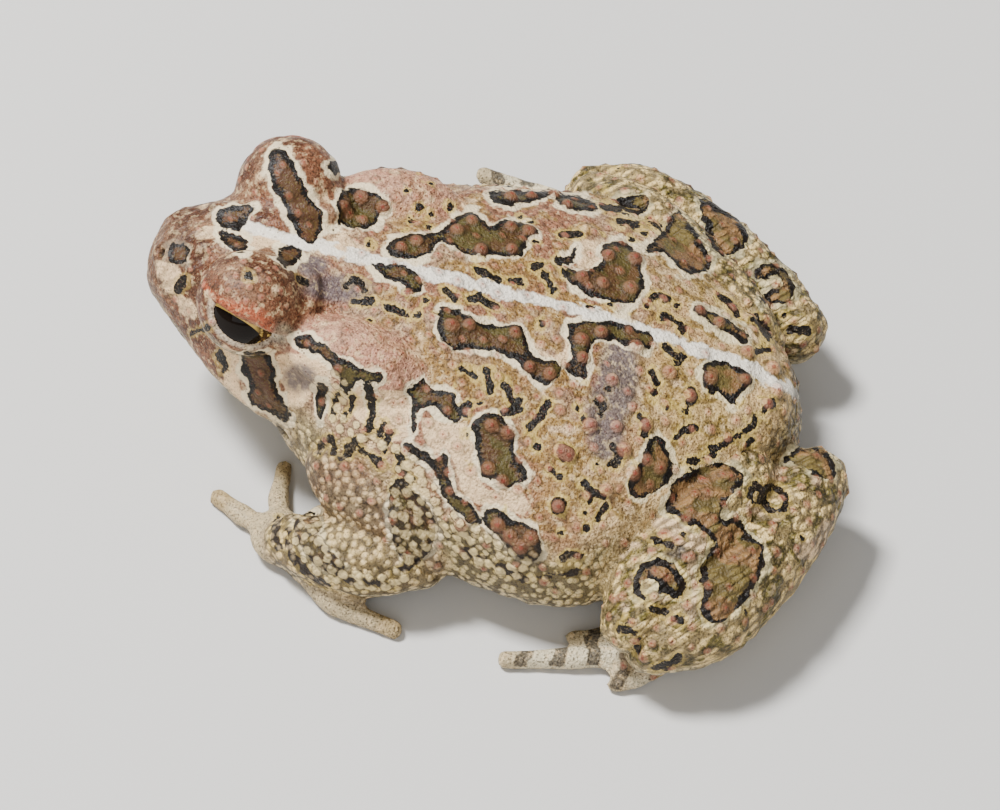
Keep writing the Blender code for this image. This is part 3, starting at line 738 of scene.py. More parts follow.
# Short black bars and squiggles between the blotches.
BARS: dict[str, tuple[Pixel, ...]] = {
    "saddle top": ((561, 236), (570, 233), (580, 233)),
    "saddle front": ((556, 258), (562, 268), (566, 276)),
    "stripe side one": ((477, 271), (488, 274), (500, 281)),
    "stripe side two": ((511, 281), (521, 283)),
    "stripe side three": ((533, 266), (540, 264)),
    "stripe side four": ((546, 276), (551, 284), (552, 292)),
    "near spine one": ((387, 307), (397, 312), (407, 316)),
    "near spine two": ((471, 299), (480, 295)),
    "near spine three": ((485, 301), (495, 307)),
    "near spine four": ((445, 288), (455, 299)),
    "back one": ((460, 370), (470, 373), (474, 378)),
    "back two": ((487, 373), (490, 382), (490, 390)),
    "back three": ((505, 385), (508, 391), (509, 397)),
    "back four": ((548, 403), (541, 416), (527, 427)),
    "flank one": ((563, 558), (572, 555), (580, 555)),
    "flank two": ((540, 576), (560, 574), (580, 572)),
    "star one": ((584, 484), (594, 491), (602, 495)),
    "star two": ((594, 491), (590, 502)),
    "hip one": ((666, 346), (670, 354), (684, 357)),
    "hip two": ((677, 364), (684, 357)),
    "thigh bar": ((653, 538), (661, 541), (671, 546)),
    "knee arc": ((621, 629), (633, 631), (640, 639), (636, 650)),
    "knee low": ((655, 668), (668, 664), (680, 657)),
    "groin one": ((690, 462), (702, 459), (714, 454)),
    "groin two": ((744, 445), (752, 440)),
    "far knee bar": ((618, 222), (628, 223), (636, 225)),
    "far foot": ((784, 332), (796, 330), (808, 331)),
    "throat one": ((352, 398), (351, 408), (346, 416)),
    "throat two": ((318, 451), (325, 440)),
    "elbow": ((392, 490), (400, 482), (412, 481)),
    "forearm low one": ((290, 530), (288, 545), (296, 562)),
    "forearm low two": ((330, 560), (345, 578), (362, 586)),
    "forearm side one": ((278, 520), (274, 534), (280, 548)),
    "forearm side two": ((302, 566), (314, 578), (328, 584)),
    "forearm side three": ((396, 572), (408, 566), (418, 560)),
    "flank low one": ((498, 566), (514, 572), (526, 580)),
    "flank low two": ((462, 548), (474, 556), (484, 560)),
    "loin one": ((640, 416), (646, 428), (644, 436)),
    "loin two": ((676, 438), (684, 430), (694, 428)),
    "loin three": ((712, 448), (726, 444), (738, 436)),
    "loin four": ((756, 416), (750, 428), (742, 432)),
    "loin five": ((690, 386), (694, 396), (690, 404)),
    "loin six": ((650, 372), (656, 384), (652, 394)),
    "left one": ((520, 400), (514, 410), (504, 412)),
    "left two": ((596, 400), (604, 408), (600, 416)),
    "left three": ((470, 404), (462, 410), (466, 418)),
    "left four": ((612, 446), (620, 456), (612, 466)),
    "far loin one": ((664, 316), (674, 320), (684, 330)),
    "far loin two": ((650, 300), (660, 296), (668, 300)),
    "far loin three": ((720, 296), (730, 304), (736, 314)),
    "far loin four": ((754, 318), (764, 326), (768, 338)),
    "lip one": ((194, 333), (200, 330), (207, 329)),
    "lip two": ((219, 354), (223, 360), (225, 369)),
    "lip three": ((176, 290), (182, 280)),
    "far row": ((600, 206), (616, 210), (630, 208)),
    "far groin": ((650, 222), (660, 228)),
    "tail one": ((756, 352), (768, 350)),
    "tail two": ((760, 412), (772, 404)),
    "side low one": ((604, 506), (598, 520)),
    "side low two": ((640, 470), (632, 486)),
    "side low three": ((552, 470), (560, 478)),
    "shank loop front": ((753, 488), (749, 495), (754, 502), (762, 499), (763, 491), (757, 487)),
    "shank loop": ((763, 491), (772, 487), (781, 493), (786, 502), (781, 510), (771, 510), (763, 501)),
    "knee ring one": ((644, 566), (638, 576), (637, 590), (643, 598)),
    "knee ring two": ((655, 563), (667, 566), (677, 575), (682, 587), (677, 594), (668, 590)),
    "shank edge": ((706, 568), (704, 580), (708, 592), (704, 606), (708, 617)),
    "thigh edge": ((674, 512), (688, 520), (704, 528), (716, 540)),
    "temple low": ((354, 300), (363, 302), (372, 300)),
    "temple ring": ((347, 287), (352, 281), (360, 283), (364, 291)),
    "temple front": ((299, 279), (306, 281)),
    "shoulder gap one": ((373, 402), (371, 416), (368, 430)),
    "shoulder gap two": ((383, 424), (380, 435)),
    "shoulder gap three": ((354, 441), (348, 450), (342, 459)),
    "shoulder gap four": ((395, 449), (401, 458)),
    "shoulder gap five": ((338, 396), (336, 408), (333, 416)),
    "shoulder gap six": ((392, 434), (388, 442), (386, 450)),
    "shoulder gap seven": ((330, 438), (335, 446), (334, 454)),
    "shoulder gap eight": ((362, 452), (372, 456), (380, 464)),
    "shoulder gap nine": ((398, 466), (405, 474), (408, 482)),
    "knee under": ((650, 609), (658, 611), (668, 610)),
    "forearm low three": ((364, 579), (378, 584), (392, 585)),
    "lid spot": ((247, 275), (251, 277)),
}

# Small dark spots: centre and radius.
SPOTS: dict[str, tuple[Pixel, float]] = {
    "side round": ((565, 453), 9.0),
    "side ring": ((558, 505), 9.0),
    "side oval": ((538, 448), 4.5),
    "side dot one": ((596, 464), 4.0),
    "side dot two": ((586, 528), 3.5),
    "side dot three": ((586, 514), 3.0),
    "side dot four": ((560, 533), 3.0),
    "nape dot one": ((419, 207), 3.5),
    "nape dot two": ((431, 214), 4.0),
    "spine dot one": ((371, 244), 3.5),
    "spine dot two": ((419, 316), 3.0),
    "middle dot": ((542, 324), 3.0),
    "hip dot one": ((667, 408), 4.0),
    "hip dot two": ((685, 411), 3.5),
    "loin dot": ((577, 408), 3.5),
    "knee dot": ((679, 619), 4.5),
    "nostril spot": ((181, 283), 4.0),
    "far side dot": ((450, 206), 2.5),
}

# Cream-white patches.
PALES: dict[str, tuple[Pixel, ...]] = {
    "shoulder": (
        (347, 402), (352, 378), (372, 386), (400, 392), (408, 404), (410, 430), (416, 440),
        (400, 442), (385, 440), (376, 427), (362, 422), (352, 415),
    ),
    "flank": (
        (420, 418), (434, 420), (452, 427), (466, 427), (472, 445), (477, 468), (484, 486),
        (502, 494), (522, 494), (530, 506), (520, 516), (500, 507), (478, 502), (464, 492),
        (454, 470), (449, 450), (436, 456), (424, 440),
    ),
    "snout top": (
        (203, 225), (218, 226), (232, 231), (248, 237), (240, 242), (222, 238), (206, 233),
    ),
    "snout side": ((157, 262), (170, 266), (181, 271), (178, 282), (174, 292), (164, 284)),
    "lip": ((178, 296), (190, 302), (196, 316), (188, 318), (178, 306)),
    "crown": (
        (240, 238), (262, 230), (290, 238), (320, 244), (345, 238), (372, 250), (350, 256),
        (320, 254), (290, 246), (262, 247), (247, 256),
    ),
    "cheek": (
        (222, 346), (236, 352), (240, 372), (246, 394), (258, 412), (272, 420), (262, 424),
        (245, 410), (232, 392), (224, 372),
    ),
    "drum": (
        (278, 356), (300, 352), (322, 358), (332, 372), (330, 382), (318, 378), (312, 392),
        (306, 402), (296, 410), (290, 402), (283, 386), (278, 372),
    ),
    "heel": (
        (798, 548), (806, 540), (818, 536), (826, 520), (832, 528), (826, 546), (812, 558),
        (800, 556),
    ),
    "snout streak": (
        (196, 232), (214, 230), (232, 232), (246, 236), (246, 242), (228, 240), (212, 237),
        (198, 238),
    ),
    "behind drum": ((330, 384), (344, 390), (345, 406), (336, 424), (328, 420), (328, 402)),
    "thigh rim": (
        (648, 524), (664, 518), (690, 528), (708, 540), (700, 548), (680, 542), (660, 530),
    ),
    "shank rim": (
        (746, 506), (758, 492), (768, 476), (776, 466), (782, 474), (770, 490), (760, 504),
        (750, 512),
    ),
    "shank end": ((690, 560), (698, 570), (697, 590), (692, 618), (684, 620), (688, 590)),
    "far thigh rim": (
        (644, 242), (656, 228), (668, 214), (680, 204), (684, 212), (668, 230), (655, 246),
    ),
    "saddle": ((578, 244), (592, 240), (602, 246), (598, 262), (584, 268), (576, 262)),
    "arch": (
        (532, 344), (545, 352), (560, 356), (566, 342), (566, 328), (571, 334), (571, 352),
        (560, 366), (545, 360),
    ),
}

# Brown-red patches of the head.
RUSTS: dict[str, tuple[Pixel, ...]] = {
    "before the near eye": (
        (182, 246), (192, 238), (203, 242), (214, 252), (224, 262), (218, 276), (214, 292),
        (206, 304), (196, 298), (188, 282), (183, 264),
    ),
    "lip front": ((174, 276), (186, 276), (189, 292), (180, 298), (173, 288)),
    "lip middle": (
        (190, 320), (206, 321), (216, 336), (224, 350), (214, 353), (201, 345), (191, 336),
    ),
    "lip back": ((213, 352), (224, 353), (229, 374), (221, 378), (214, 364)),
    "far lid front": (
        (238, 172), (244, 152), (262, 138), (290, 134), (312, 142), (300, 148), (276, 146),
        (256, 158), (248, 180),
    ),
    "lid spot": ((246, 270), (256, 264), (268, 268), (270, 276), (262, 282), (250, 279)),
    "lid hind spot": ((276, 280), (286, 284), (290, 294), (284, 300), (276, 292)),
    "between": ((256, 214), (268, 210), (276, 222), (280, 234), (268, 232), (258, 226)),
    "brow": (
        (212, 262), (222, 254), (236, 250), (252, 256), (264, 261), (278, 262), (292, 270),
        (302, 284), (304, 302), (297, 302), (294, 288), (284, 277), (268, 270), (250, 266),
        (234, 262), (218, 270),
    ),
    "far snout": ((176, 214), (200, 208), (214, 206), (212, 214), (192, 220), (178, 222)),
}

# Where the ground is yellower.
YELLOWS: dict[str, tuple[Pixel, ...]] = {
    "left middle": (
        (442, 356), (500, 366), (546, 386), (572, 420), (580, 470), (560, 510), (536, 500),
        (530, 450), (505, 400), (470, 398), (440, 384),
    ),
    "loin": ((650, 340), (700, 356), (730, 400), (720, 440), (690, 440), (660, 410), (650, 370)),
    "near spine": ((450, 262), (520, 262), (562, 280), (560, 296), (500, 282), (450, 272)),
}

# Blue-grey smears: centre and radii.
GREYS: dict[str, tuple[Pixel, Pixel]] = {
    "temple": ((338, 288), (39, 16)),
    "crest": ((312, 266), (18, 12)),
    "loin": ((618, 378), (23, 50)),
    "loin low": ((606, 420), (22, 50)),
    "drum": ((300, 378), (19, 16)),
    "knee": ((676, 552), (12, 8)),
}

# Where cream beads crowd the skin.
PEARLS: dict[str, tuple[Pixel, ...]] = {
    "shoulder": (
        (332, 372), (346, 376), (362, 388), (382, 392), (402, 404), (411, 436), (404, 448),
        (382, 450), (358, 440), (338, 432), (330, 410),
    ),
    "flank": (
        (398, 452), (420, 462), (434, 484), (446, 508), (470, 522), (500, 542), (530, 564),
        (520, 578), (480, 566), (448, 540), (436, 512), (412, 486), (396, 468),
    ),
    "elbow": ((394, 488), (418, 492), (434, 520), (430, 548), (412, 562), (398, 552), (390, 520)),
    "forearm": (
        (296, 516), (318, 518), (322, 544), (350, 570), (384, 574), (410, 566), (404, 584),
        (360, 592), (324, 578), (298, 552),
    ),
}

# Warts where the photograph shows them, as pixels by patch.
WARTS: dict[str, tuple[Pixel, ...]] = {
    "nape": ((344, 205), (347, 214), (360, 197), (362, 220), (384, 207)),
    "right shoulder": ((417, 240), (402, 247), (457, 230), (472, 221), (480, 249)),
    "right middle": ((511, 226), (512, 249), (530, 230), (510, 197), (532, 195), (555, 195)),
    "right loin": ((609, 257), (634, 259), (582, 277), (602, 282), (632, 286), (567, 204)),
    "left shoulder": ((451, 324), (469, 324), (516, 332), (531, 366), (549, 372)),
    "left loin": ((582, 340), (583, 357), (602, 332), (636, 346), (611, 379)),
    "rump": ((712, 378), (745, 379), (700, 310), (719, 322), (670, 371), (690, 396)),
    "left side": ((490, 426), (508, 433), (488, 469), (502, 480), (560, 451), (570, 454)),
    "left flank": ((558, 505), (497, 526), (508, 537), (519, 547), (531, 538), (461, 526)),
    "left haunch": ((591, 425), (616, 426), (646, 424), (625, 449), (646, 461), (660, 467)),
    "tail end": ((768, 404), (776, 389), (772, 367), (748, 352), (634, 474), (607, 489)),
}
SMALL_WARTS: dict[str, tuple[Pixel, ...]] = {
    "near thigh": (
        (622, 597), (616, 599), (652, 550), (643, 536), (664, 536), (679, 539), (686, 557),
        (628, 583), (654, 572), (667, 578), (688, 607), (643, 657), (635, 642), (654, 628),
        (690, 512), (704, 480), (722, 476), (676, 470),
    ),
    "shoulder": (
        (378, 396), (392, 404), (400, 420), (388, 430), (404, 400), (442, 436), (460, 446),
        (470, 470), (496, 498),
    ),
    "leg": (
        (783, 479), (773, 525), (777, 553), (748, 512), (696, 587), (745, 623), (765, 609),
        (771, 603), (721, 629), (815, 479), (812, 544), (651, 644), (643, 654), (624, 665),
        (653, 676), (671, 668), (615, 641), (611, 597), (609, 618), (618, 576), (662, 535),
        (678, 540), (689, 556), (653, 516), (706, 491), (700, 478), (724, 503), (731, 475),
        (695, 494), (671, 498), (687, 518), (715, 518),
    ),
    "near shank": ((752, 551), (729, 589), (707, 586), (707, 606), (729, 536), (766, 478), (772, 530)),
    "side": (
        (452, 365), (462, 383), (497, 376), (516, 390), (531, 415), (530, 441), (548, 466),
        (517, 488), (430, 474), (486, 544), (406, 451), (448, 411), (554, 538), (544, 569),
        (634, 407), (666, 421), (632, 408), (593, 446), (628, 503), (604, 526), (585, 497),
        (618, 489), (704, 354), (679, 349), (536, 395), (560, 410), (575, 385), (600, 400),
        (650, 390), (690, 430), (712, 430), (735, 420), (480, 395), (470, 352), (485, 340),
        (502, 340), (462, 338), (540, 345), (556, 340), (548, 322),
    ),
    "right back": (
        (495, 268), (522, 266), (548, 268), (560, 246), (596, 232), (586, 222), (655, 280),
        (664, 300), (680, 290), (690, 330), (476, 236), (590, 207), (575, 200), (610, 214),
        (500, 235), (523, 238), (620, 272), (588, 286),
    ),
    "head": (
        (284, 165), (291, 196), (300, 213), (308, 226), (276, 174), (250, 216), (230, 219),
        (236, 245), (307, 345), (262, 372), (258, 392), (270, 405),
    ),
    "near lid": (
        (243, 262), (256, 270), (268, 280), (250, 287), (275, 268), (262, 297), (281, 291),
        (235, 277), (287, 307), (246, 302), (228, 290),
    ),
    "far lid": ((262, 150), (302, 162), (315, 182), (256, 192), (240, 180), (248, 166)),
    "snout": ((200, 230), (208, 250), (192, 270), (204, 285), (176, 300), (190, 312), (212, 322)),
    "far leg": (
        (640, 180), (655, 190), (600, 175), (672, 240), (690, 255), (722, 225), (735, 240),
        (775, 285), (700, 262), (625, 190),
    ),
}
FACE_PATCHES: tuple[str, ...] = ("head", "near lid", "far lid", "snout")

# The tips of the fingers and toes on the floor.
DIGIT_TIPS: tuple[Pixel, ...] = (
    (13.2, -10.8), (10.2, -17.4), (15.6, -23.4), (28.2, -2.4), (-13.2, -10.8), (-10.2, -17.4),
    (-15.6, -23.4), (-28.2, -2.4), (17.0, 23.0), (21.2, 18.2), (24.9, 15.0), (29.3, 8.8),
    (29.8, 20.0), (-24.2, 12.4), (-27.6, 5.4), (-31.4, 1.6), (-36.4, -4.2), (-38.6, 6.6),
)


@dataclass(frozen=True)
class SkinFinish:
    """The skin's colours and relief."""

    pink_tan: tuple = rgb(160, 108, 80)
    yellow_tan: tuple = rgb(158, 122, 60)
    grey_cream: tuple = rgb(176, 140, 108)
    cream: tuple = rgb(238, 208, 158)
    yellow_cream: tuple = rgb(226, 206, 140)
    olive: tuple = rgb(118, 106, 46)
    leg_cream: tuple = rgb(255, 220, 146)
    # Dark brown for the pepper specks, and painted shade in the seams between granules, in the fold
    # lines and round the feet of warts and beads.
    dark_speck_and_shade: tuple = rgb(38, 26, 15)
    blotch_brown: tuple = rgb(82, 56, 32)
    blotch_olive: tuple = rgb(80, 70, 34)
    blotch_leg: tuple = rgb(122, 104, 58)
    blotch_clay: tuple = rgb(162, 122, 78)
    blotch_head: tuple = rgb(86, 54, 36)
    toe_band: tuple = rgb(48, 40, 34)
    face: tuple = rgb(118, 66, 38)
    lobe: tuple = rgb(252, 232, 172)
    # Dark olive painted shade in the fold lines of the legs.
    leg_crease_shade: tuple = rgb(54, 48, 19)
    ring: tuple = rgb(216, 186, 100)
    black: tuple = rgb(12, 8, 5)
    halo: tuple = rgb(252, 232, 190)
    stripe: tuple = rgb(255, 246, 228)
    wart: tuple = rgb(136, 92, 66)
    pale_wart: tuple = rgb(190, 130, 102)
    white: tuple = rgb(255, 217, 168)
    wart_tip: tuple = rgb(132, 52, 38)
    gland: tuple = rgb(226, 164, 136)
    gland_dot: tuple = rgb(84, 44, 30)
    umber: tuple = rgb(80, 56, 38)
    leg_halo: tuple = rgb(242, 226, 172)
    ember: tuple = rgb(192, 88, 52)
    pearl: tuple = rgb(242, 216, 156)
    rust: tuple = rgb(88, 46, 26)
    lilac: tuple = rgb(100, 92, 96)
    belly: tuple = rgb(212, 200, 164)
    toe: tuple = rgb(220, 206, 172)
    toe_tip: tuple = rgb(176, 152, 108)
    rim: tuple = rgb(236, 222, 194)
    corner: tuple = rgb(172, 164, 140)
    grain_size: float = 0.44
    pebble_size: float = 0.8
    roughness: float = 0.46
    sheen: float = 0.28

    def ground(self, board: Board) -> Socket:
        """The colour between the marks.

        Args:
            board: The skin's node board.

        Returns:
            The ground colour by region.
        """
        cloud, patch = board.mark("cloud"), board.mark("patch")
        colour = board.mix(board.fade(cloud, 0.4, 0.6), self.pink_tan, self.grey_cream)
        tan = board.both(board.fade(patch, 0.42, 0.58), board.mark("back"))
        colour = board.mix(board.both(tan, 0.85), colour, self.yellow_tan)
        colour = board.mix(board.both(board.mark("yellow"), 0.65), colour, self.yellow_tan)
        colour = board.mix(board.both(board.mark("head"), 0.5), colour, self.face)
        colour = board.mix(board.both(board.mark("gland"), 0.85), colour, self.gland)
        rust = board.both(board.mark("rust"), board.fade(patch, 0.2, 0.5))
        colour = board.mix(rust, colour, self.rust)
        colour = board.mix(board.both(board.mark("ember"), 0.75), colour, self.ember)
        leg = board.mix(board.fade(patch, 0.47, 0.64), self.leg_cream, self.olive)
        colour = board.mix(board.mark("leg"), colour, leg)
        colour = board.mix(board.mark("groin"), colour, leg)
        colour = board.mix(board.both(board.mark("flank"), 0.85), colour, self.yellow_cream)
        colour = board.mix(board.mark("belly"), colour, self.belly)
        colour = board.mix(board.mark("corner"), colour, self.corner)
        white = board.fade(board.math("ADD", board.mark("white"), board.both(patch, 1.2)), 0.85, 1.15)
        pale = board.mix(board.mark("flank"), self.white, self.lobe)
        colour = board.mix(board.both(white, 0.9), colour, pale)
        colour = board.mix(board.mark("lilac"), colour, self.lilac)
        colour = board.mix(board.mark("pale"), colour, self.rim)
        toes = board.mix(board.mark("toe_tip"), self.toe, self.toe_tip)
        band = board.both(board.fade(board.mark("band"), 0.3, 0.65), 0.85)
        toes = board.mix(band, toes, self.toe_band)
        return board.mix(board.mark("toe"), colour, toes)

    def marked(self, board: Board, colour: Socket, pepper: Socket) -> Socket:
        """Lay the halos, the stripe, the blotches and the bars on the ground colour.

        Args:
            board: The skin's node board.
            colour: The ground colour.
            pepper: The finest noise.

        Returns:
            The colour with the marks.
        """
        waver = board.both(board.math("SUBTRACT", board.grain(0.9, 3.0), 0.5), 1.0)
        blotch = board.math("ADD", board.mark("blotch"), waver)
        bar = board.math("ADD", board.mark("bar"), board.both(waver, 1.2))
        line = board.math("ADD", board.mark("stripe"), board.both(waver, 1.2))
        ragged = board.math("SUBTRACT", board.mark("edge"), 0.5)
        far = board.math("SUBTRACT", blotch, board.both(ragged, 1.3))
        halo = board.fade(far, 0.58, 0.28)
        thin = board.both(board.mark("muzzle"), 0.75)
        thin = board.math("ADD", board.both(board.mark("leg"), 0.25), thin)
        halo = board.both(halo, board.math("SUBTRACT", 0.9, thin))
        colour = board.mix(halo, colour, board.mix(board.mark("leg"), self.halo, self.leg_halo))
        specks = board.cells(2.3)
        speck = board.math("SUBTRACT", board.both(specks.outputs["Distance"], 2.3), 0.36)
        draw = board.math("FRACT", board.math("MULTIPLY", specks.outputs["Color"], 5.0))
        speck = board.math("ADD", speck, board.fade(draw, 0.76, 0.71))
        speck = board.math("ADD", speck, board.math("SUBTRACT", 1.0, board.mark("specked")))
        bar = board.math("MINIMUM", bar, board.math("ADD", speck, board.both(waver, 2.2)))
        near = board.math("SUBTRACT", bar, board.both(ragged, 1.0))
        ring = board.math("SUBTRACT", 0.65, board.both(board.mark("head"), 0.35))
        ring = board.math("SUBTRACT", ring, board.both(board.mark("lilac"), 0.6))
        colour = board.mix(board.both(board.fade(near, 0.48, 0.15), ring), colour, self.ring)
        line = board.math("ADD", line, board.both(ragged, 0.9))
        colour = board.mix(board.both(board.fade(line, 0.78, 0.45), 0.95), colour, self.stripe)
        share = board.fade(board.mark("patch"), 0.4, 0.6)
        dark = board.mix(share, self.blotch_brown, self.blotch_olive)
        share = board.fade(board.mark("patch"), 0.42, 0.6)
        leg = board.mix(share, self.blotch_clay, self.blotch_leg)
        dark = board.mix(board.both(board.mark("leg"), 0.9), dark, leg)
        dark = board.mix(board.both(board.mark("head"), 0.75), dark, self.blotch_head)
        dark = board.mix(board.both(board.fade(pepper, 0.5, 0.3), 0.35), dark, self.olive)
        loose = board.math("ADD", 0.9, board.both(board.mark("leg"), 1.0))
        deep = board.math("ADD", blotch, board.both(ragged, loose))
        deep = board.math("ADD", deep, board.both(board.math("SUBTRACT", pepper, 0.5), 0.9))
        dark = board.mix(board.fade(deep, -0.66, -0.36), dark, self.black)
        colour = board.mix(board.fade(blotch, 0.06, -0.06), colour, dark)
        bar = board.math("SUBTRACT", bar, board.both(ragged, 0.5))
        return board.mix(board.fade(bar, 0.05, -0.05), colour, self.black)

    def material(self) -> bpy.types.Material:
        """Build the skin's material.

        Returns:
            The material.
        """
        board = Board("toad_skin")
        mottle = board.grain(0.7, 4.0)
        pepper = board.grain(0.22, 2.0)
        pebble = board.mark("pebble")
        coarse = board.math("GREATER_THAN", pebble, 0.5)
        cells = board.cells(self.grain_size)
        fine, wide = 1 / (self.grain_size * MM), 1 / (self.pebble_size * MM)
        scale = board.math("SUBTRACT", fine, board.both(coarse, fine - wide))
        board.plug(cells.inputs["Scale"], scale)
        middle = cells.outputs["Distance"]
        granule = board.fade(middle, 0.6, 0.15)
        # Painted shade: the seams between the granules are darkened in the colour.
        seam_shade = board.fade(middle, 0.38, 0.6)
        along_leg = board.stretched((1.0, 3.6, 1.0), (23.0, 0.0, 36.0))
        folds = board.cells(0.72, along_leg).outputs["Distance"]
        colour = self.ground(board)
        plain = board.both(board.mark("toe"), 0.6)
        plain = board.math("ADD", board.both(board.mark("leg"), 0.3), plain)
        smooth = board.both(board.mark("lilac"), 0.25)
        smooth = board.math("ADD", board.both(board.mark("white"), 0.36), smooth)
        smooth = board.math("ADD", smooth, board.both(board.mark("gland"), 0.2))
        face = board.math("ADD", smooth, board.both(board.mark("head"), 0.12))
        plain = board.math("ADD", plain, face)
        dapple = board.both(board.fade(mottle, 0.5, 0.62), board.math("SUBTRACT", 0.52, plain))
        colour = board.mix(dapple, colour, self.umber)
        colour = board.mix(board.both(board.fade(mottle, 0.48, 0.34), 0.5), colour, self.cream)
        dots = board.both(board.fade(pepper, 0.52, 0.66), board.math("SUBTRACT", 0.7, smooth))
        colour = board.mix(dots, colour, self.dark_speck_and_shade)
        # Painted shade along the fold lines of the legs, groin and snout: dark olive on the legs, dark
        # brown elsewhere.
        crease_shade = board.both(board.fade(folds, 0.4, 0.66), board.mark("wrinkle"))
        crease_shade_colour = board.mix(board.mark("leg"), self.dark_speck_and_shade, self.leg_crease_shade)
        colour = board.mix(board.both(crease_shade, 0.55), colour, crease_shade_colour)
        colour = self.marked(board, colour, pepper)
        # More painted shade in the fold lines, laid over the marks.
        colour = board.mix(board.both(crease_shade, 0.45), colour, self.dark_speck_and_shade)
        outside = board.fade(board.mark("blotch"), 0.0, 0.5)
        light = board.both(board.fade(pepper, 0.45, 0.3), outside)
        colour = board.mix(board.both(light, 0.16), colour, self.cream)
        colour = board.mix(board.both(granule, board.both(pebble, 0.4)), colour, self.cream)
        # Painted shade in the seams between granules, stronger where the skin is pebbled.
        seam_shade = board.both(seam_shade, board.math("ADD", 0.12, board.both(pebble, 0.7)))
        colour = board.mix(seam_shade, colour, self.dark_speck_and_shade)

        wart = board.mark("wart")
        inside = board.fade(board.mark("blotch"), 0.3, -0.1)
        # Painted shade: a dark ring round the foot of each wart.
        ring = board.both(board.fade(wart, 0.0, 0.12), board.fade(wart, 0.36, 0.16))
        colour = board.mix(board.both(ring, 0.4), colour, self.dark_speck_and_shade)
        body = board.mix(inside, self.pale_wart, self.wart)
        tint = board.math("ADD", 0.45, board.both(inside, 0.2))
        colour = board.mix(board.both(board.fade(wart, 0.12, 0.5), tint), colour, body)
        colour = board.mix(board.both(board.fade(wart, 0.7, 0.88), 0.65), colour, self.wart_tip)
        uneven = board.both(board.math("SUBTRACT", mottle, 0.5), 0.5)
        pearl = board.math("ADD", board.mark("pearl_wart"), uneven)
        pearl = board.both(pearl, board.fade(board.mark("pearl_wart"), 0.0, 0.1))
        # Painted shade: a dark ring round the foot of each bead.
        ring = board.both(board.fade(pearl, 0.0, 0.15), board.fade(pearl, 0.4, 0.15))
        colour = board.mix(board.both(ring, 0.6), colour, self.dark_speck_and_shade)
        share = board.math("SUBTRACT", 0.66, board.both(inside, 0.25))
        colour = board.mix(board.both(board.fade(pearl, 0.12, 0.4), share), colour, self.pearl)
        draw = board.math("FRACT", board.math("MULTIPLY", cells.outputs["Color"], 7.0))
        pore = board.both(board.fade(middle, 0.32, 0.2), board.fade(draw, 0.5, 0.55))
        pore = board.both(pore, board.mark("pored"))
        colour = board.mix(board.both(pore, 0.75), colour, self.gland_dot)
        # Painted shade: black in the nostrils and along the mouth.
        colour = board.mix(board.both(board.mark("pit_shade"), 0.9), colour, self.black)
        board.plug(board.shader.inputs["Base Color"], colour)
        board.shader.inputs["Roughness"].default_value = self.roughness
        board.shader.inputs["Specular IOR Level"].default_value = self.sheen

        face = board.math("SUBTRACT", 1.0, board.both(board.mark("head"), 0.5))
        relief = board.both(granule, board.math("ADD", 0.07, board.both(pebble, 0.18)))
        relief = board.math("ADD", relief, board.both(pepper, 0.14))
        relief = board.both(board.math("ADD", relief, board.both(mottle, 0.3)), face)
        ridge = board.both(board.fade(folds, 0.65, 0.25), board.mark("wrinkle"))
        relief = board.math("ADD", relief, board.both(ridge, 0.24))
        relief = board.math("SUBTRACT", relief, board.both(pore, 0.06))
        board.plug(board.shader.inputs["Normal"], board.bump(relief))
        return board.material


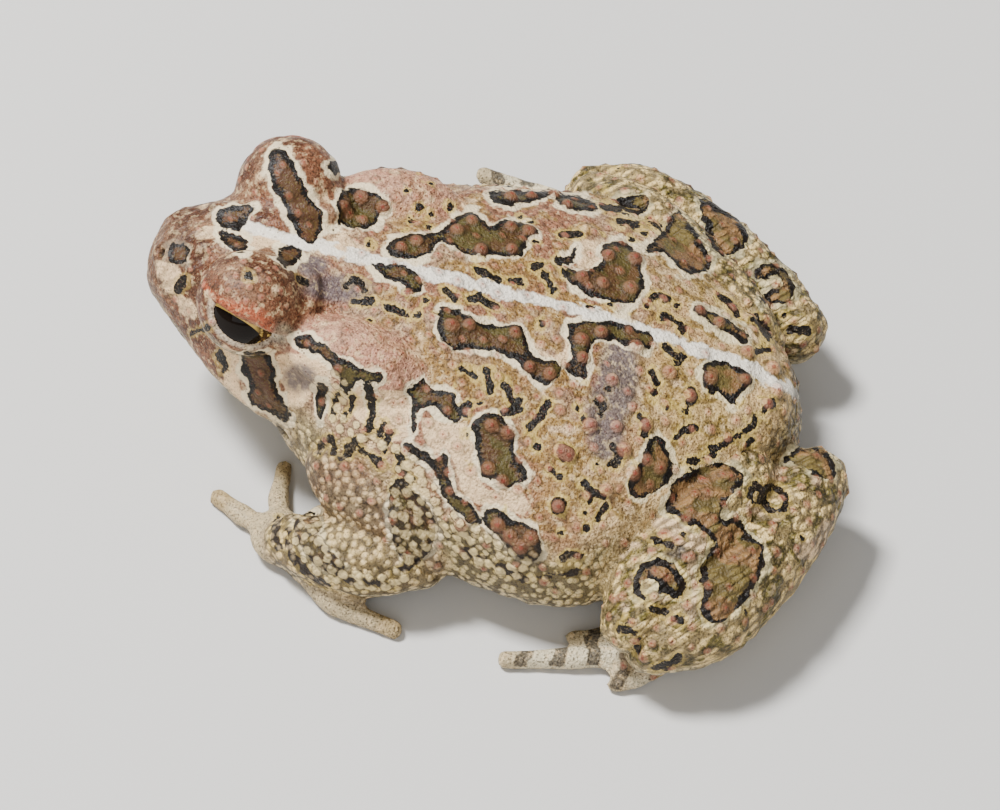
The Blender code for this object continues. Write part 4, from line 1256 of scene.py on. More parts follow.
@dataclass
class Eye:
    """One wet eyeball with its iris and its wide level pupil."""

    side: Side
    turn: HeadTurn
    centre: Place = (8.5, -22.8, 22.0)
    radius: float = 4.3
    gaze_turn: float = -4.0
    gaze_rise: float = 16.0
    slit_tilt: float = -22.0
    cornea: float = 0.18
    lid_centre: Place = (8.3, -22.3, 22.5)
    lid_radii: Place = (5.3, 5.5, 5.2)

    def middle(self) -> Vector:
        """The eyeball's centre after the head's turn."""
        return self.turn.place(self.side.of(self.centre))

    def axes(self) -> tuple[Vector, Vector, Vector]:
        """The directions along the eye's slit, up across it, and out along the gaze."""
        turn, rise = math.radians(self.gaze_turn), math.radians(self.gaze_rise)
        flat = math.cos(rise)
        sideways = self.side.value * math.cos(turn) * flat
        out = Vector((sideways, -math.sin(turn) * flat, math.sin(rise)))
        level = Vector((0, 0, 1)).cross(out).normalized()
        tilt = Matrix.Rotation(math.radians(self.slit_tilt * self.side.value), 3, out)
        along = tilt @ level
        return along, out.cross(along), out

    def lid_form(self) -> bmesh.types.BMesh:
        """The whole dome of the lids, in millimetres in the toad's own frame."""
        bm = bmesh.new()
        bmesh.ops.create_uvsphere(bm, u_segments=40, v_segments=24, radius=1.0)
        place = Matrix.Translation(self.turn.place(self.side.of(self.lid_centre)))
        sized = place @ Matrix.Diagonal((*self.lid_radii, 1.0))
        bmesh.ops.transform(bm, matrix=sized, verts=bm.verts)
        return bm

    def build(self, shift: np.ndarray) -> bpy.types.Object:
        """Make the eyeball's mesh, with its own coordinates as attributes.

        Args:
            shift: Where the toad's own frame lies in the scene, in millimetres.

        Returns:
            The eyeball.
        """
        bm = bmesh.new()
        bmesh.ops.create_uvsphere(bm, u_segments=96, v_segments=64, radius=self.radius)
        along, upward, out = self.axes()
        turned = Matrix((along, upward, out)).transposed().to_4x4()
        across = bm.verts.layers.float.new("across")
        above = bm.verts.layers.float.new("above")
        ahead = bm.verts.layers.float.new("ahead")
        for vert in bm.verts:
            vert[across], vert[above], vert[ahead] = vert.co
            reach = max(0.0, vert.co.z / self.radius - 0.55) / 0.45
            vert.co *= 1 + self.cornea / self.radius * math.sin(min(reach, 1.0) * math.pi / 2)
        bmesh.ops.transform(bm, matrix=turned, verts=bm.verts)
        place = Matrix.Scale(MM, 4) @ Matrix.Translation(self.middle() + Vector(shift))
        bmesh.ops.transform(bm, matrix=place, verts=bm.verts)
        mesh = bpy.data.meshes.new("eyeball_" + self.side.word)
        bm.to_mesh(mesh)
        bm.free()
        mesh.shade_smooth()
        obj = bpy.data.objects.new(mesh.name, mesh)
        bpy.context.scene.collection.objects.link(obj)
        return obj


@dataclass(frozen=True)
class EyeFinish:
    """The eye's black pupil, its gold iris and its dark rim."""

    gold: tuple = rgb(214, 180, 96)
    bronze: tuple = rgb(74, 50, 26)
    dark: tuple = rgb(20, 14, 10)
    pupil_centre: tuple[float, float] = (-0.7, -0.45)
    pupil: tuple[float, float] = (2.95, 1.5)

    def material(self) -> bpy.types.Material:
        """Build the eye's material.

        Returns:
            The material.
        """
        board = Board("toad_eye")
        across, above = board.mark("across"), board.mark("above")
        wide = board.math("SUBTRACT", across, self.pupil_centre[0])
        tall = board.math("SUBTRACT", above, self.pupil_centre[1])
        wide = board.math("DIVIDE", wide, self.pupil[0])
        tall = board.math("DIVIDE", tall, self.pupil[1])
        reach = board.math("ADD", board.both(wide, wide), board.both(tall, tall))
        reach = board.math("SQRT", reach)
        flecks = board.fade(board.grain(0.35, 5.0), 0.38, 0.48)
        iris = board.mix(flecks, self.gold, self.bronze)
        veins = board.cells(0.5, feature="DISTANCE_TO_EDGE").outputs["Distance"]
        iris = board.mix(board.both(board.fade(veins, 0.12, 0.02), 0.7), iris, self.dark)
        middle = board.fade(board.math("ABSOLUTE", board.math("ADD", across, 1.1)), 3.1, 1.9)
        iris = board.mix(board.both(board.fade(reach, 1.25, 1.1), middle), iris, self.gold)
        rim = board.math("ADD", board.both(across, across), board.both(above, above))
        rim = board.math("SQRT", rim)
        iris = board.mix(board.fade(rim, 3.6, 3.9), iris, self.dark)
        colour = board.mix(board.fade(reach, 1.02, 0.98), iris, self.dark)
        board.plug(board.shader.inputs["Base Color"], colour)
        board.shader.inputs["Roughness"].default_value = 0.05
        board.shader.inputs["IOR"].default_value = 1.22
        return board.material


@dataclass
class Skin:
    """The toad's skin: one surface over its head, trunk, limbs, hands and feet."""

    view: PhotoView
    turn: HeadTurn
    shift: np.ndarray
    eyes: tuple[Eye, Eye]
    grid: float = 0.42
    growth: float = 0.3
    opening_centre: tuple[float, float] = (0.1, 0.8)
    opening: tuple[float, float, float] = (3.9, 0.55, 2.45)
    lid_thickness: float = 0.5
    inner_crest: tuple[Place, ...] = (
        (2.7, -28.8, 22.6), (2.9, -25.0, 23.7), (3.2, -20.0, 24.2), (4.6, -17.2, 24.0),
    )
    outer_crest: tuple[Place, ...] = ((4.6, -17.2, 24.0), (8.0, -16.6, 23.2), (11.4, -16.6, 20.6))
    crest: tuple[float, float] = (0.5, 0.62)
    gland_rise: float = 0.55
    gland_centre: Place = (10.8, -11.4, 20.4)
    gland_radii: Place = (3.8, 6.8, 3.4)
    gland_turn: float = 9.0
    eardrum: Place = (12.6, -17.0, 16.4)
    eardrum_radius: float = 1.7
    nostril: tuple[Place, Place] = ((2.5, -32.9, 20.5), (3.1, -32.3, 20.2))
    nostril_radius: float = 0.42
    lip: tuple[Pixel, ...] = (
        (-34.3, 14.9), (-33.0, 14.4), (-30.0, 13.4), (-26.0, 12.2), (-22.0, 11.2), (-18.0, 10.2),
        (-16.4, 9.6),
    )
    wart_radius: float = 0.98
    small_wart_radius: float = 0.66
    wart_rise: float = 0.42
    face_wart_share: float = 0.75
    fill_warts: int = 330
    fill_draws: int = 6000
    fill_gap: float = 1.7
    fill_radii: tuple[float, float] = (0.5, 0.7)
    neck_y: float = -14.0
    pearl_gap: float = 0.98
    pearl_radii: tuple[float, float] = (0.46, 0.74)
    pearl_rise: float = 0.3
    spike: float = 0.03
    cusp: float = 0.22
    fill_seed: int = 7
    smoothings: int = 26
    eye_reach: float = 6.2
    eye_side: float = 9.0
    nostril_reach: float = 2.2
    unseen: float = 0.3
    twin_reach: float = 2.0
    mark_limit: float = 3.0
    mark_reach: float = 30.0
    bar_half_width: float = 3.5
    folds: tuple[tuple[str, str, float], ...] = (
        ("thigh_left", "shank_left", 0.5),
        ("thigh_right", "shank_right", 0.5),
        ("upper_arm", "forearm", 0.5),
        ("torso", "thigh", 0.5),
        ("torso", "upper_arm", 0.3),
        ("shank", "foot", 0.3),
    )

    def gather(self, nodes: dict[str, bpy.types.Object]) -> bpy.types.Object:
        """Join grown copies of all the solids in one mesh.

        Args:
            nodes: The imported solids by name.

        Returns:
            The joined object, not yet fused.
        """
        bm = bmesh.new()
        parts = []
        for node in nodes.values():
            part = bmesh.new()
            part.from_mesh(node.data)
            bmesh.ops.remove_doubles(part, verts=part.verts, dist=1e-6)
            parts.append(part)
        for eye in self.eyes:
            dome = eye.lid_form()
            place = Matrix.Scale(MM, 4) @ Matrix.Translation(Vector(self.shift))
            bmesh.ops.transform(dome, matrix=place, verts=dome.verts)
            parts.append(dome)
        for part in parts:
            part.normal_update()
            for vert in part.verts:
                vert.co += vert.normal * self.growth * MM
            loose = bpy.data.meshes.new("part")
            part.to_mesh(loose)
            part.free()
            bm.from_mesh(loose)
            bpy.data.meshes.remove(loose)
        mesh = bpy.data.meshes.new("skin")
        bm.to_mesh(mesh)
        bm.free()
        obj = bpy.data.objects.new("skin", mesh)
        bpy.context.scene.collection.objects.link(obj)
        return obj

    def fuse(self, obj: bpy.types.Object) -> None:
        """Make the joined mesh one closed surface and keep its outer shell.

        Args:
            obj: The joined object, whose mesh is replaced.
        """
        remesh = obj.modifiers.new("fuse", "REMESH")
        remesh.mode = "VOXEL"
        remesh.voxel_size = self.grid * MM
        graph = bpy.context.evaluated_depsgraph_get()
        mesh = bpy.data.meshes.new_from_object(obj.evaluated_get(graph))
        obj.modifiers.clear()
        obj.data = mesh
        mesh.name = "skin"
        bm = bmesh.new()
        bm.from_mesh(mesh)
        seen: set[int] = set()
        shells: list[list[bmesh.types.BMVert]] = []
        for start in bm.verts:
            if start.index in seen:
                continue
            seen.add(start.index)
            shell = [start]
            for vert in shell:
                for edge in vert.link_edges:
                    other = edge.other_vert(vert)
                    if other.index not in seen:
                        seen.add(other.index)
                        shell.append(other)
            shells.append(shell)
        shells.sort(key=len)
        for shell in shells[:-1]:
            bmesh.ops.delete(bm, geom=shell, context="VERTS")
        bm.to_mesh(mesh)
        bm.free()
        LOG.info("skin fused: %d shells, %d faces", len(shells), len(mesh.polygons))

    def refine(self, obj: bpy.types.Object) -> None:
        """Halve the mesh's edges over the eyes and the nostrils.

        Args:
            obj: The skin.
        """
        bm = bmesh.new()
        bm.from_mesh(obj.data)
        places = [eye.middle() for eye in self.eyes]
        nostrils = [self.turn.place(side.of(self.nostril[0])) for side in Side]
        shift = Vector(self.shift)
        chosen = []
        for edge in bm.edges:
            middle = (edge.verts[0].co + edge.verts[1].co) / 2 / MM - shift
            beside = abs(middle.x) > self.eye_side
            near_eye = any((middle - place).length < self.eye_reach for place in places)
            near_nostril = any((middle - place).length < self.nostril_reach for place in nostrils)
            if beside and near_eye or near_nostril:
                chosen.append(edge)
        bmesh.ops.subdivide_edges(bm, edges=chosen, cuts=1, use_grid_fill=True)
        bmesh.ops.triangulate(bm, faces=[f for f in bm.faces if len(f.verts) > 4])
        bm.to_mesh(obj.data)
        bm.free()

    def build(self, nodes: dict[str, bpy.types.Object]) -> bpy.types.Object:
        """Build, shape and mark the skin.

        Args:
            nodes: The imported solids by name.

        Returns:
            The skin.
        """
        obj = self.gather(nodes)
        self.fuse(obj)
        self.refine(obj)
        skin = Surface(obj, self.shift)
        skin.smooth(self.smoothings)
        skin.raise_by(np.full(len(skin.at), -self.growth))
        self.find_parts(skin, nodes)
        self.crease_joints(skin)
        self.roughen(skin)
        self.calm(skin)
        self.open_lids(skin)
        self.shape_face(skin)
        self.find_seen(skin)
        warts, pearls = self.place_warts(skin), self.place_pearls(skin)
        self.wart = self.raise_warts(skin, warts, self.wart_rise)
        self.pearl = self.raise_warts(skin, pearls, self.pearl_rise)
        self.press_down(skin)
        self.mark_regions(skin)
        self.mark_patterns(skin)
        obj.data.shade_smooth()
        LOG.info("skin: %d points, %d faces, %d warts", len(skin.at), len(obj.data.polygons), len(warts))
        return obj

    def find_parts(self, skin: Surface, nodes: dict[str, bpy.types.Object]) -> None:
        """Note which solid each point of the skin lies on.

        Args:
            skin: The skin.
            nodes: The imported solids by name.
        """
        self.names = sorted(nodes)
        corners: list[Vector] = []
        faces: list[tuple[int, ...]] = []
        owner: list[int] = []
        for number, name in enumerate(self.names):
            mesh = nodes[name].data
            first = len(corners)
            corners.extend(v.co / MM - Vector(self.shift) for v in mesh.vertices)
            faces.extend(tuple(first + v for v in face.vertices) for face in mesh.polygons)
            owner.extend([number] * len(mesh.polygons))
        tree = BVHTree.FromPolygons(corners, faces)
        found = [tree.find_nearest(Vector(place))[2] for place in skin.at]
        self.part = np.array(owner)[np.array(found)]

    def on(self, *words: str) -> np.ndarray:
        """Which points lie on solids whose names hold one of some words."""
        chosen = [k for k, name in enumerate(self.names) if any(word in name for word in words)]
        return np.isin(self.part, chosen)

    def crease_joints(self, skin: Surface) -> None:
        """Press folds into the skin where folded limbs meet.

        Args:
            skin: The skin.
        """
        lift = np.zeros(len(skin.at))
        for first, second, depth in self.folds:
            meeting = 4 * skin.blurred(self.on(first), 3) * skin.blurred(self.on(second), 3)
            lift -= depth * meeting**1.5
        skin.raise_by(lift)

    def roughen(self, skin: Surface) -> None:
        """Give the skin soft lumps of a few millimetres.

        Args:
            skin: The skin.
        """
        wide = np.array([noise.noise(Vector(place) * 0.36) for place in skin.at])
        small = np.array([noise.noise(Vector(place) * 0.95) for place in skin.at])
        lift = 0.16 * wide + 0.1 * small
        lumps = np.array([0.5 - noise.voronoi(Vector(place) / 1.7)[0][0] for place in skin.at])
        bare = skin.blurred(self.on("hand", "foot"), 3)
        face = smoothstep(skin.at[:, 1], -13.0, -17.0)
        lift = lift * (1 - 0.6 * bare) + 0.3 * lumps * (1 - bare) * (1 - 0.7 * face)
        skin.raise_by(lift)

    def open_lids(self, skin: Surface) -> None:
        """Open each eye: sink the skin under the eyeball and round the lids over it.

        Args:
            skin: The skin.
        """
        self.lid_gap = np.full(len(skin.at), 9.0)
        self.lid_above = np.zeros(len(skin.at))
        for eye in self.eyes:
            along, upward, out = (np.array(axis) for axis in eye.axes())
            away = skin.at - np.array(eye.middle())
            u, v, w = away @ along, away @ upward, away @ out
            u, v = u - self.opening_centre[0], v - self.opening_centre[1]
            half_height = np.where(v > 0, self.opening[1], self.opening[2])
            across = np.hypot(u / self.opening[0], v / half_height)
            flat = np.hypot(u, v)
            gap = flat * (1 - 1 / np.maximum(across, 1e-3))
            radius = np.linalg.norm(away, axis=1)
            ahead = (w > 0.5) & (radius < eye.radius + 2.5)
            lid = eye.radius + 0.12 + self.lid_thickness * np.sqrt(np.clip(gap / 0.9, 0, 1))
            inside = ahead & (gap < 0.0)
            over = ahead & (gap >= 0.0) & (gap < 1.0)
            wanted = np.where(inside, eye.radius - 0.45, radius)
            blend = smoothstep(gap, 1.0, 0.3)
            wanted = np.where(over, blend * lid + (1 - blend) * np.maximum(radius, lid), wanted)
            wanted = np.where(ahead & (gap >= 1.0), np.maximum(radius, eye.radius + 0.45), wanted)
            skin.at = skin.at + away / np.maximum(radius, 1e-6)[:, None] * (wanted - radius)[:, None]
            self.lid_gap = np.where(ahead, np.minimum(self.lid_gap, gap), self.lid_gap)
            self.lid_above = np.where(ahead, v, self.lid_above)
        skin.store()

    def lip_path(self, skin: Surface, side: Side) -> list[Vector]:
        """Points along the closed mouth on the skin.

        Args:
            skin: The skin.
            side: The side of the head.

        Returns:
            Places from the middle of the snout to the mouth's corner.
        """
        tree = skin.tree()
        path = [self.turn.place((0.0, self.lip[0][0] - 0.1, self.lip[0][1]))]
        for y, z in self.lip:
            inner = self.turn.place((0.0, y, z))
            outer = self.turn.place((side.value * 30.0, y, z))
            hit = tree.ray_cast(outer, (inner - outer).normalized())[0]
            if hit is not None:
                path.append(hit)
        return path

    def shape_face(self, skin: Surface) -> None:
        """Crests, lips, nostrils and eardrums, with painted shade in the nostrils and along the mouth.

        Args:
            skin: The skin.
        """
        lift = np.zeros(len(skin.at))
        self.pit_shade = np.zeros(len(skin.at))
        self.lip_gap = np.full(len(skin.at), 9.0)
        for side in Side:
            for path in (self.inner_crest, self.outer_crest):
                near = skin.away_from_path(self.turn.path(path, side))
                lift += self.crest[0] * np.exp(-((near / self.crest[1]) ** 2))
            reach = self.gland_reach(skin, side)
            moat = 0.2 * np.exp(-(((reach - 1.25) / 0.12) ** 2))
            lift += self.gland_rise * smoothstep(reach, 1.2, 0.8) - moat
            near = skin.away_from_path(self.lip_path(skin, side))
            rim = 0.14 * np.exp(-(((near - 0.75) / 0.35) ** 2))
            lift += -0.32 * np.exp(-((near / 0.3) ** 2)) + rim
            self.lip_gap = np.minimum(self.lip_gap, near)
            near = skin.away_from_path(self.turn.path(self.nostril, side))
            lift += -0.75 * np.exp(-((near / self.nostril_radius) ** 2))
            lift += 0.16 * np.exp(-(((near - 0.95) / 0.35) ** 2))
            # Painted shade: black inside each nostril.
            self.pit_shade = np.maximum(self.pit_shade, smoothstep(near, 0.55, 0.3))
            near = skin.away_from(self.turn.place(side.of(self.eardrum))) / self.eardrum_radius
            lift += np.where(near < 1.5, -0.22 * np.cos(np.clip(near, 0, 1.5) * 2.1), 0.0)
        # Painted shade: dark along the closed mouth.
        lip_shade = smoothstep(self.lip_gap, 0.3, 0.12) * 0.75
        self.pit_shade = np.maximum(self.pit_shade, lip_shade)
        skin.raise_by(lift)

    def gland_reach(self, skin: Surface, side: Side) -> np.ndarray:
        """How far out each point lies from a gland's middle, with 1 at its edge.

        Args:
            skin: The skin.
            side: The side of the gland.

        Returns:
            One number for each point.
        """
        away = skin.at - np.array(self.turn.place(side.of(self.gland_centre)))
        turn = math.radians(self.gland_turn * side.value)
        across = (away[:, 0] * math.cos(turn) - away[:, 1] * math.sin(turn)) / self.gland_radii[0]
        along = (away[:, 0] * math.sin(turn) + away[:, 1] * math.cos(turn)) / self.gland_radii[1]
        return np.sqrt(across**2 + along**2 + (away[:, 2] / self.gland_radii[2]) ** 2)

    def find_seen(self, skin: Surface) -> None:
        """Note how well the camera sees each point, and its twin on the other side.

        Args:
            skin: The skin.
        """
        tree = skin.tree()
        eye = np.array(self.view.eye())
        toward = eye - skin.at
        toward /= np.linalg.norm(toward, axis=1)[:, None]
        facing = (toward * skin.normal).sum(axis=1)
        seen = smoothstep(facing, 0.02, 0.2)
        for k in np.nonzero(seen > 0.0)[0]:
            start = Vector(skin.at[k] + skin.normal[k] * 0.3)
            if tree.ray_cast(start, Vector(toward[k]))[0] is not None:
                seen[k] = 0.0
        self.seen = skin.blurred(seen, 4)
        self.pixels = self.view.project(skin.at)
        twins = KDTree(len(skin.at))
        for k, place in enumerate(skin.at):
            twins.insert(Vector(place), k)
        twins.balance()
        self.twins = twins
        self.twin = np.arange(len(skin.at))
        self.twin_share = np.zeros(len(skin.at))
        for k in np.nonzero(self.seen < 0.98)[0]:
            mirror = Vector((-skin.at[k][0], skin.at[k][1], skin.at[k][2]))
            _, other, far = twins.find(mirror)
            self.twin[k] = other
            self.twin_share[k] = max(0.0, 1 - far / 3.0) * self.seen[other]
        self.twin_share = skin.blurred(self.twin_share, 3)

    def place_warts(self, skin: Surface) -> list[tuple[int, float]]:
        """Choose the points on which warts stand.

        Args:
            skin: The skin.

        Returns:
            The index of each wart's middle point, and its radius.
        """
        tree = skin.tree()
        points = KDTree(len(skin.at))
        for k, place in enumerate(skin.at):
            points.insert(Vector(place), k)
        points.balance()
        eye = self.view.eye()
        warts: list[tuple[int, float]] = []
        draw = random.Random(self.fill_seed)
        for table, usual in ((WARTS, self.wart_radius), (SMALL_WARTS, self.small_wart_radius)):
            for name, patch in table.items():
                radius = usual * (self.face_wart_share if name in FACE_PATCHES else 1.0)
                for pixel in patch:
                    hit = tree.ray_cast(eye, self.view.ray(pixel))[0]
                    if hit is None:
                        continue
                    size = radius * draw.uniform(0.85, 1.15)
                    warts.append((points.find(hit)[1], size))
        for k, size in list(warts):
            place = skin.at[k]
            _, other, far = points.find(Vector((-place[0], place[1], place[2])))
            if far < self.twin_reach and self.seen[other] < self.unseen:
                warts.append((other, size))
        body = self.on("torso", "thigh", "shank", "upper_arm") & (skin.normal[:, 2] > 0.1)
        body &= skin.at[:, 1] > self.neck_y
        pool = np.nonzero(body)[0]
        middles = [Vector(skin.at[k]) for k, _ in warts]
        added = 0
        for _ in range(self.fill_draws):
            k = int(pool[draw.randrange(len(pool))])
            place = Vector(skin.at[k])
            if all((place - other).length > self.fill_gap for other in middles):
                warts.append((k, draw.uniform(*self.fill_radii)))
                middles.append(place)
                added += 1
            if added == self.fill_warts:
                break
        return warts

    def place_pearls(self, skin: Surface) -> list[tuple[int, float]]:
        """Choose the points on which the cream beads of the shoulder, arm and flank stand.

        Args:
            skin: The skin.

        Returns:
            The index of each bead's middle point, and its radius.
        """
        draw = random.Random(self.fill_seed)
        beads: list[tuple[int, float]] = []
        middles: list[Vector] = []
        bare = distance_to_outline(self.pixels, rounded(PALES["shoulder"])) < 4.0
        for outline in PEARLS.values():
            gap = distance_to_outline(self.pixels, rounded(outline))
            pool = [int(k) for k in np.nonzero((gap < 0) & ~bare & (self.seen > 0.5))[0]]
            draw.shuffle(pool)
            for k in pool:
                place = Vector(skin.at[k])
                if all((place - other).length > self.pearl_gap for other in middles):
                    beads.append((k, draw.uniform(*self.pearl_radii)))
                    middles.append(place)
        for k, size in list(beads):
            other = int(self.other_side(skin, k))
            if self.seen[other] < self.unseen:
                beads.append((other, size))
        return beads

    def other_side(self, skin: Surface, k: int) -> int:
        """The point nearest to a point's mirror image."""
        return self.twins.find(Vector((-skin.at[k][0], skin.at[k][1], skin.at[k][2])))[1]

    def raise_warts(self, skin: Surface, warts: list[tuple[int, float]], rise: float) -> np.ndarray:
        """Raise each wart and note how near each point is to one.

        Args:
            skin: The skin.
            warts: The index of each wart's middle point, and its radius.
            rise: The height of a wart as a share of its radius.

        Returns:
            One share for each point: 1 in the middle of a wart and 0 outside.
        """
        lift = np.zeros(len(skin.at))
        share = np.zeros(len(skin.at))
        for k, radius in warts:
            near = np.linalg.norm(skin.at - skin.at[k], axis=1) / radius
            share = np.maximum(share, np.clip(1 - near, 0, 1))
            dome = radius * rise * np.clip(1 - near**2, 0, 1) ** 1.6
            lift = np.maximum(lift, dome)
        skin.raise_by(lift)
        return share

    def calm(self, skin: Surface) -> None:
        """Round off the sharp points of the limbs.

        Args:
            skin: The skin.
        """
        digits = skin.blurred(self.on("hand", "foot"), 2)
        shank = skin.blurred(self.on("shank"), 4)
        rounds = ((digits, 1, self.spike), (digits, 1, self.spike), (shank, 8, self.cusp))
        for where, passes, least in rounds:
            middle = skin.blurred(skin.at, passes)
            away = np.linalg.norm(skin.at - middle, axis=1)
            share = smoothstep(away, least, 2 * least) * where
            skin.at = skin.at + (middle - skin.at) * share[:, None]
            LOG.info("points rounded off: %d", int((share > 0.2).sum()))
        skin.store()

    def press_down(self, skin: Surface) -> None:
        """Keep the skin on the floor where it rests."""
        skin.at[:, 2] = np.maximum(skin.at[:, 2], 0.0)
        skin.store()

    def mark_regions(self, skin: Surface) -> None:
        """Keep the regions of the skin as attributes.

        Args:
            skin: The skin.
        """
        x, y, z = skin.at.T
        rise = skin.blurred(skin.normal[:, 2], 12)
        limb = skin.blurred(self.on("thigh", "shank"), 8)
        arm = skin.blurred(self.on("arm"), 8)
        digits = skin.blurred(self.on("hand", "foot"), 5)
        trunk = np.clip(1 - limb - arm - digits, 0, 1)
        below_lip = smoothstep(z, 12.5, 9.5) * smoothstep(y, -14.0, -18.0)
        side = smoothstep(rise, 0.62, 0.3) * smoothstep(z, 16.5, 12.5) * smoothstep(y, -20.0, -14.0)
        flank = trunk * np.maximum(side, below_lip)
        belly = smoothstep(rise, -0.1, -0.5)
        pebble = np.clip(np.maximum(flank, arm * 0.9) + belly * 0.8, 0, 1)
        groin = trunk * smoothstep(y, 20.0, 27.0) * smoothstep(rise, 0.75, 0.45)
        head = smoothstep(y, -14.5, -18.0) * np.clip(1 - belly - flank, 0, 1)
        back = trunk * smoothstep(y, -14.0, -9.0) * smoothstep(rise, 0.5, 0.8)
        gland = np.zeros(len(skin.at))
        for side in Side:
            gland = np.maximum(gland, smoothstep(self.gland_reach(skin, side), 1.25, 0.95))
        cloud = self.clouds(skin, 6.0, 1.0, 3)
        patch = self.clouds(skin, 2.3, 0.8, 3)
        edge = self.clouds(skin, 1.9, 1.0, 2, Vector((5, 9, 2)))
        lilac = np.zeros(len(skin.at))
        for centre, radii in GREYS.values():
            away = (self.pixels - np.array(centre)) / np.array(radii)
            lilac = np.maximum(lilac, smoothstep(np.linalg.norm(away, axis=1), 1.15, 0.65))
        upper = self.lid_above > 0
        ember = smoothstep(self.lid_gap, 2.6, 1.4) * smoothstep(self.lid_gap, 0.1, 0.5) * upper
        far_edge = 0.75 * smoothstep(np.abs(self.lid_gap - 0.22), 0.38, 0.12) * ~upper
        rust = self.filled(inside_any(self.pixels, RUSTS, 7.0, -5.0))
        rust = np.clip(rust + 0.3 * head + 0.25 * smoothstep(y, -26.0, -30.0), 0, 1)
        pale = np.maximum(far_edge, smoothstep(np.abs(self.lip_gap - 0.8), 0.5, 0.2) * 0.6)
        tip = np.zeros(len(skin.at))
        for place in DIGIT_TIPS:
            tip = np.maximum(tip, 0.6 * smoothstep(skin.away_from((*place, 0.8)), 2.6, 1.2))
        tip = np.clip(tip + 0.65 * skin.blurred(self.on("hand"), 4), 0, 1)
        white = inside_any(self.pixels, PALES, 5.0, -5.0)
        corner = smoothstep(np.linalg.norm(self.pixels - np.array((283, 334)), axis=1), 15, 6)
        wave = np.sin(y * 1.9 + 0.6 * np.sin(x * 1.3))
        band = self.on("foot") * smoothstep(wave, 0.1, 0.5) * smoothstep(skin.normal[:, 2], -0.1, 0.3)
        band = skin.blurred(band, 1)
        skin.put("head", head)
        skin.put("back", back)
        skin.put("cloud", cloud)
        skin.put("patch", patch)
        skin.put("edge", edge)
        skin.put("ember", ember)
        skin.put("pearl_wart", self.pearl)
        skin.put("corner", self.filled(corner) * 0.7)
        skin.put("white", self.filled(white))
        skin.put("yellow", self.filled(inside_any(self.pixels, YELLOWS, 14.0, -14.0)))
        skin.put("band", band)
        skin.put("rust", rust)
        rear = trunk * smoothstep(y + 0.25 * np.abs(x), 12.0, 27.0)
        lower_arm = skin.blurred(self.on("forearm"), 6)
        skin.put("leg", np.clip(limb + 0.5 * rear + 0.7 * lower_arm, 0, 1))
        skin.put("groin", groin * 0.5)
        skin.put("flank", np.clip(flank + arm * 0.3, 0, 1))
        skin.put("belly", belly)
        skin.put("pebble", pebble)
        wrinkle = np.clip(limb + groin + 0.4 * smoothstep(y, -26.0, -30.0), 0, 1)
        skin.put("wrinkle", wrinkle * (1 - belly))
        skin.put("lilac", self.filled(lilac) * 0.85)
        skin.put("muzzle", smoothstep(y, -28.0, -31.0))
        skin.put("pale", pale * 0.8)
        skin.put("toe", digits)
        skin.put("toe_tip", tip)
        skin.put("gland", gland)
        skin.put("specked", np.clip(back + 0.9 * limb + groin, 0, 1) * (1 - belly))
        skin.put("pored", np.clip(gland + 0.6 * head + 0.6 * back, 0, 1))
        skin.put("pit_shade", self.pit_shade)
        skin.put("wart", self.wart * (1 - 0.6 * belly))
        self.belly = belly
        self.digits = digits

    def clouds(
        self, skin: Surface, size: float, fall: float, layers: int, move: Vector = Vector((0, 0, 0))
    ) -> np.ndarray:
        """Soft noise over the skin.

        Args:
            skin: The skin.
            size: The size of its features in millimetres.
            fall: How fast its finer layers fade.
            layers: How many layers it has.
            move: How far the noise is moved, in features.

        Returns:
            One share for each point, mostly from 0 to 1.
        """
        places = [Vector(place) / size + move for place in skin.at]
        return np.array([0.5 + 0.5 * noise.fractal(place, fall, 2.0, layers) for place in places])

    def filled(self, values: np.ndarray, other: np.ndarray | float = 0.0) -> np.ndarray:
        """Values where the camera sees, and their mirror image or another value elsewhere.

        Args:
            values: One number for each point, right where the camera sees it.
            other: What counts where neither the point nor its mirror image is seen.

        Returns:
            One number for each point.
        """
        seen = smoothstep(self.seen, 0.25, 0.6)
        mirror = smoothstep(self.twin_share, 0.25, 0.5)
        return seen * values + (1 - seen) * (mirror * values[self.twin] + (1 - mirror) * other)

    def mark_patterns(self, skin: Surface) -> None:
        """Keep the distances to the blotches, bars and stripe as attributes, in millimetres.

        Args:
            skin: The skin.
        """
        marks = Markings()
        scale = self.view.pixels_per_mm
        away = self.mark_limit
        blotch = marks.blotch_distance(self.pixels, self.mark_reach) / scale
        bar = marks.bar_distance(self.pixels, self.mark_reach, self.bar_half_width) / scale
        stripe = marks.stripe_distance(self.pixels, self.mark_reach) / scale
        move = Vector((7.1, 3.3, 1.7))
        cloud = np.array([noise.noise(Vector(place) * 0.19 + move) for place in skin.at])
        bare = self.belly + self.digits * 0.7
        hidden = np.where(cloud > 0.2, -(cloud - 0.2) * 12.0, (0.2 - cloud) * 9.0)
        hidden = np.clip(hidden + bare * 4.0, -away, away)
        rows = (("blotch", blotch, hidden), ("bar", bar, away), ("stripe", stripe, away))
        for name, values, other in rows:
            values = self.filled(np.clip(values, -away, away), other)
            skin.put(name, np.clip(values, -away, away))


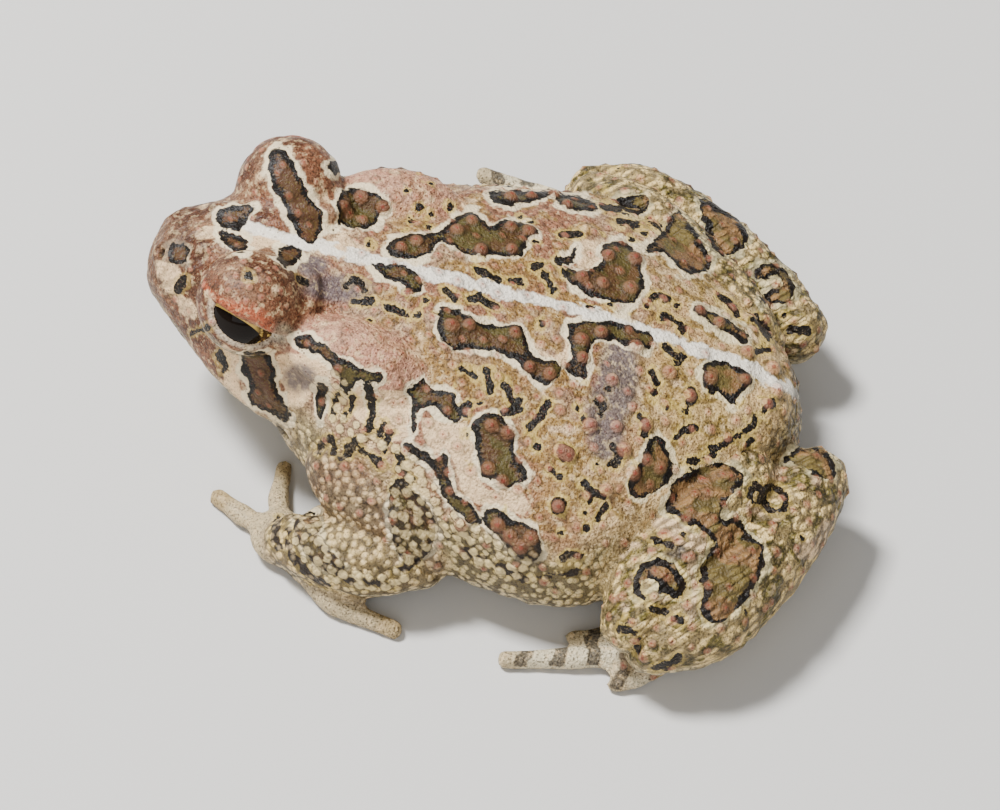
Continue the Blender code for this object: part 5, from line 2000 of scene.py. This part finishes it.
@dataclass
class Studio:
    """A plain pale floor and soft light."""

    pale: tuple = rgb(220, 218, 214)
    floor_size: float = 1.5
    key_power: float = 15.2
    fill_power: float = 3.6
    sky_strength: float = 0.26

    def build(self) -> None:
        """Make the floor, the lights and the world."""
        bm = bmesh.new()
        bmesh.ops.create_grid(bm, x_segments=1, y_segments=1, size=self.floor_size)
        mesh = bpy.data.meshes.new("floor")
        bm.to_mesh(mesh)
        bm.free()
        floor = bpy.data.objects.new("floor", mesh)
        bpy.context.scene.collection.objects.link(floor)
        board = Board("floor_paint")
        board.shader.inputs["Base Color"].default_value = self.pale
        board.shader.inputs["Roughness"].default_value = 0.9
        mesh.materials.append(board.material)
        self.lamp("key", (-0.05, -0.42, 0.78), 0.18, self.key_power)
        self.lamp("fill", (0.75, 0.0, 0.45), 0.8, self.fill_power)
        world = bpy.data.worlds.new("sky")
        world.use_nodes = True
        sky = world.node_tree.nodes["Background"]
        sky.inputs["Color"].default_value = (1.0, 1.0, 1.0, 1.0)
        sky.inputs["Strength"].default_value = self.sky_strength
        bpy.context.scene.world = world

    def lamp(self, name: str, place: Place, size: float, power: float) -> None:
        """Hang one soft lamp that faces the toad.

        Args:
            name: The lamp's name.
            place: Its place in metres.
            size: Its side in metres.
            power: Its power in watts.
        """
        data = bpy.data.lights.new(name, "AREA")
        data.energy = power
        data.size = size
        lamp = bpy.data.objects.new(name, data)
        toward = Vector(place).to_track_quat("Z", "Y").to_matrix().to_4x4()
        lamp.matrix_world = Matrix.Translation(place) @ toward
        bpy.context.scene.collection.objects.link(lamp)


def main() -> None:
    """Build the toad, its light and its camera."""
    logging.basicConfig(level=logging.INFO, format="%(message)s")
    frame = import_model()
    turn = HeadTurn()
    view = PhotoView()
    eyes = (Eye(Side.LEFT, turn), Eye(Side.RIGHT, turn))
    low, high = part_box("eye_left")
    shift = (low + high) / 2 / MM - eyes[0].middle()
    LOG.info("the toad's own frame lies at %.2f, %.2f, %.2f mm", *shift)
    view.camera(shift)
    Studio().build()
    shift_row = np.array(shift)
    finish = EyeFinish().material()
    for eye in eyes:
        ball = eye.build(shift_row)
        ball.data.materials.append(finish)
        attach(ball, "root")
        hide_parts("eye_" + eye.side.word)
    skin = Skin(view, turn, shift_row, eyes)
    hide = skin.build(frame["nodes"])
    hide.data.materials.append(SkinFinish().material())
    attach(hide, "root")
    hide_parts(*[name for name in sorted(frame["nodes"]) if not name.startswith("eye")])


if __name__ == "__main__":
    main()
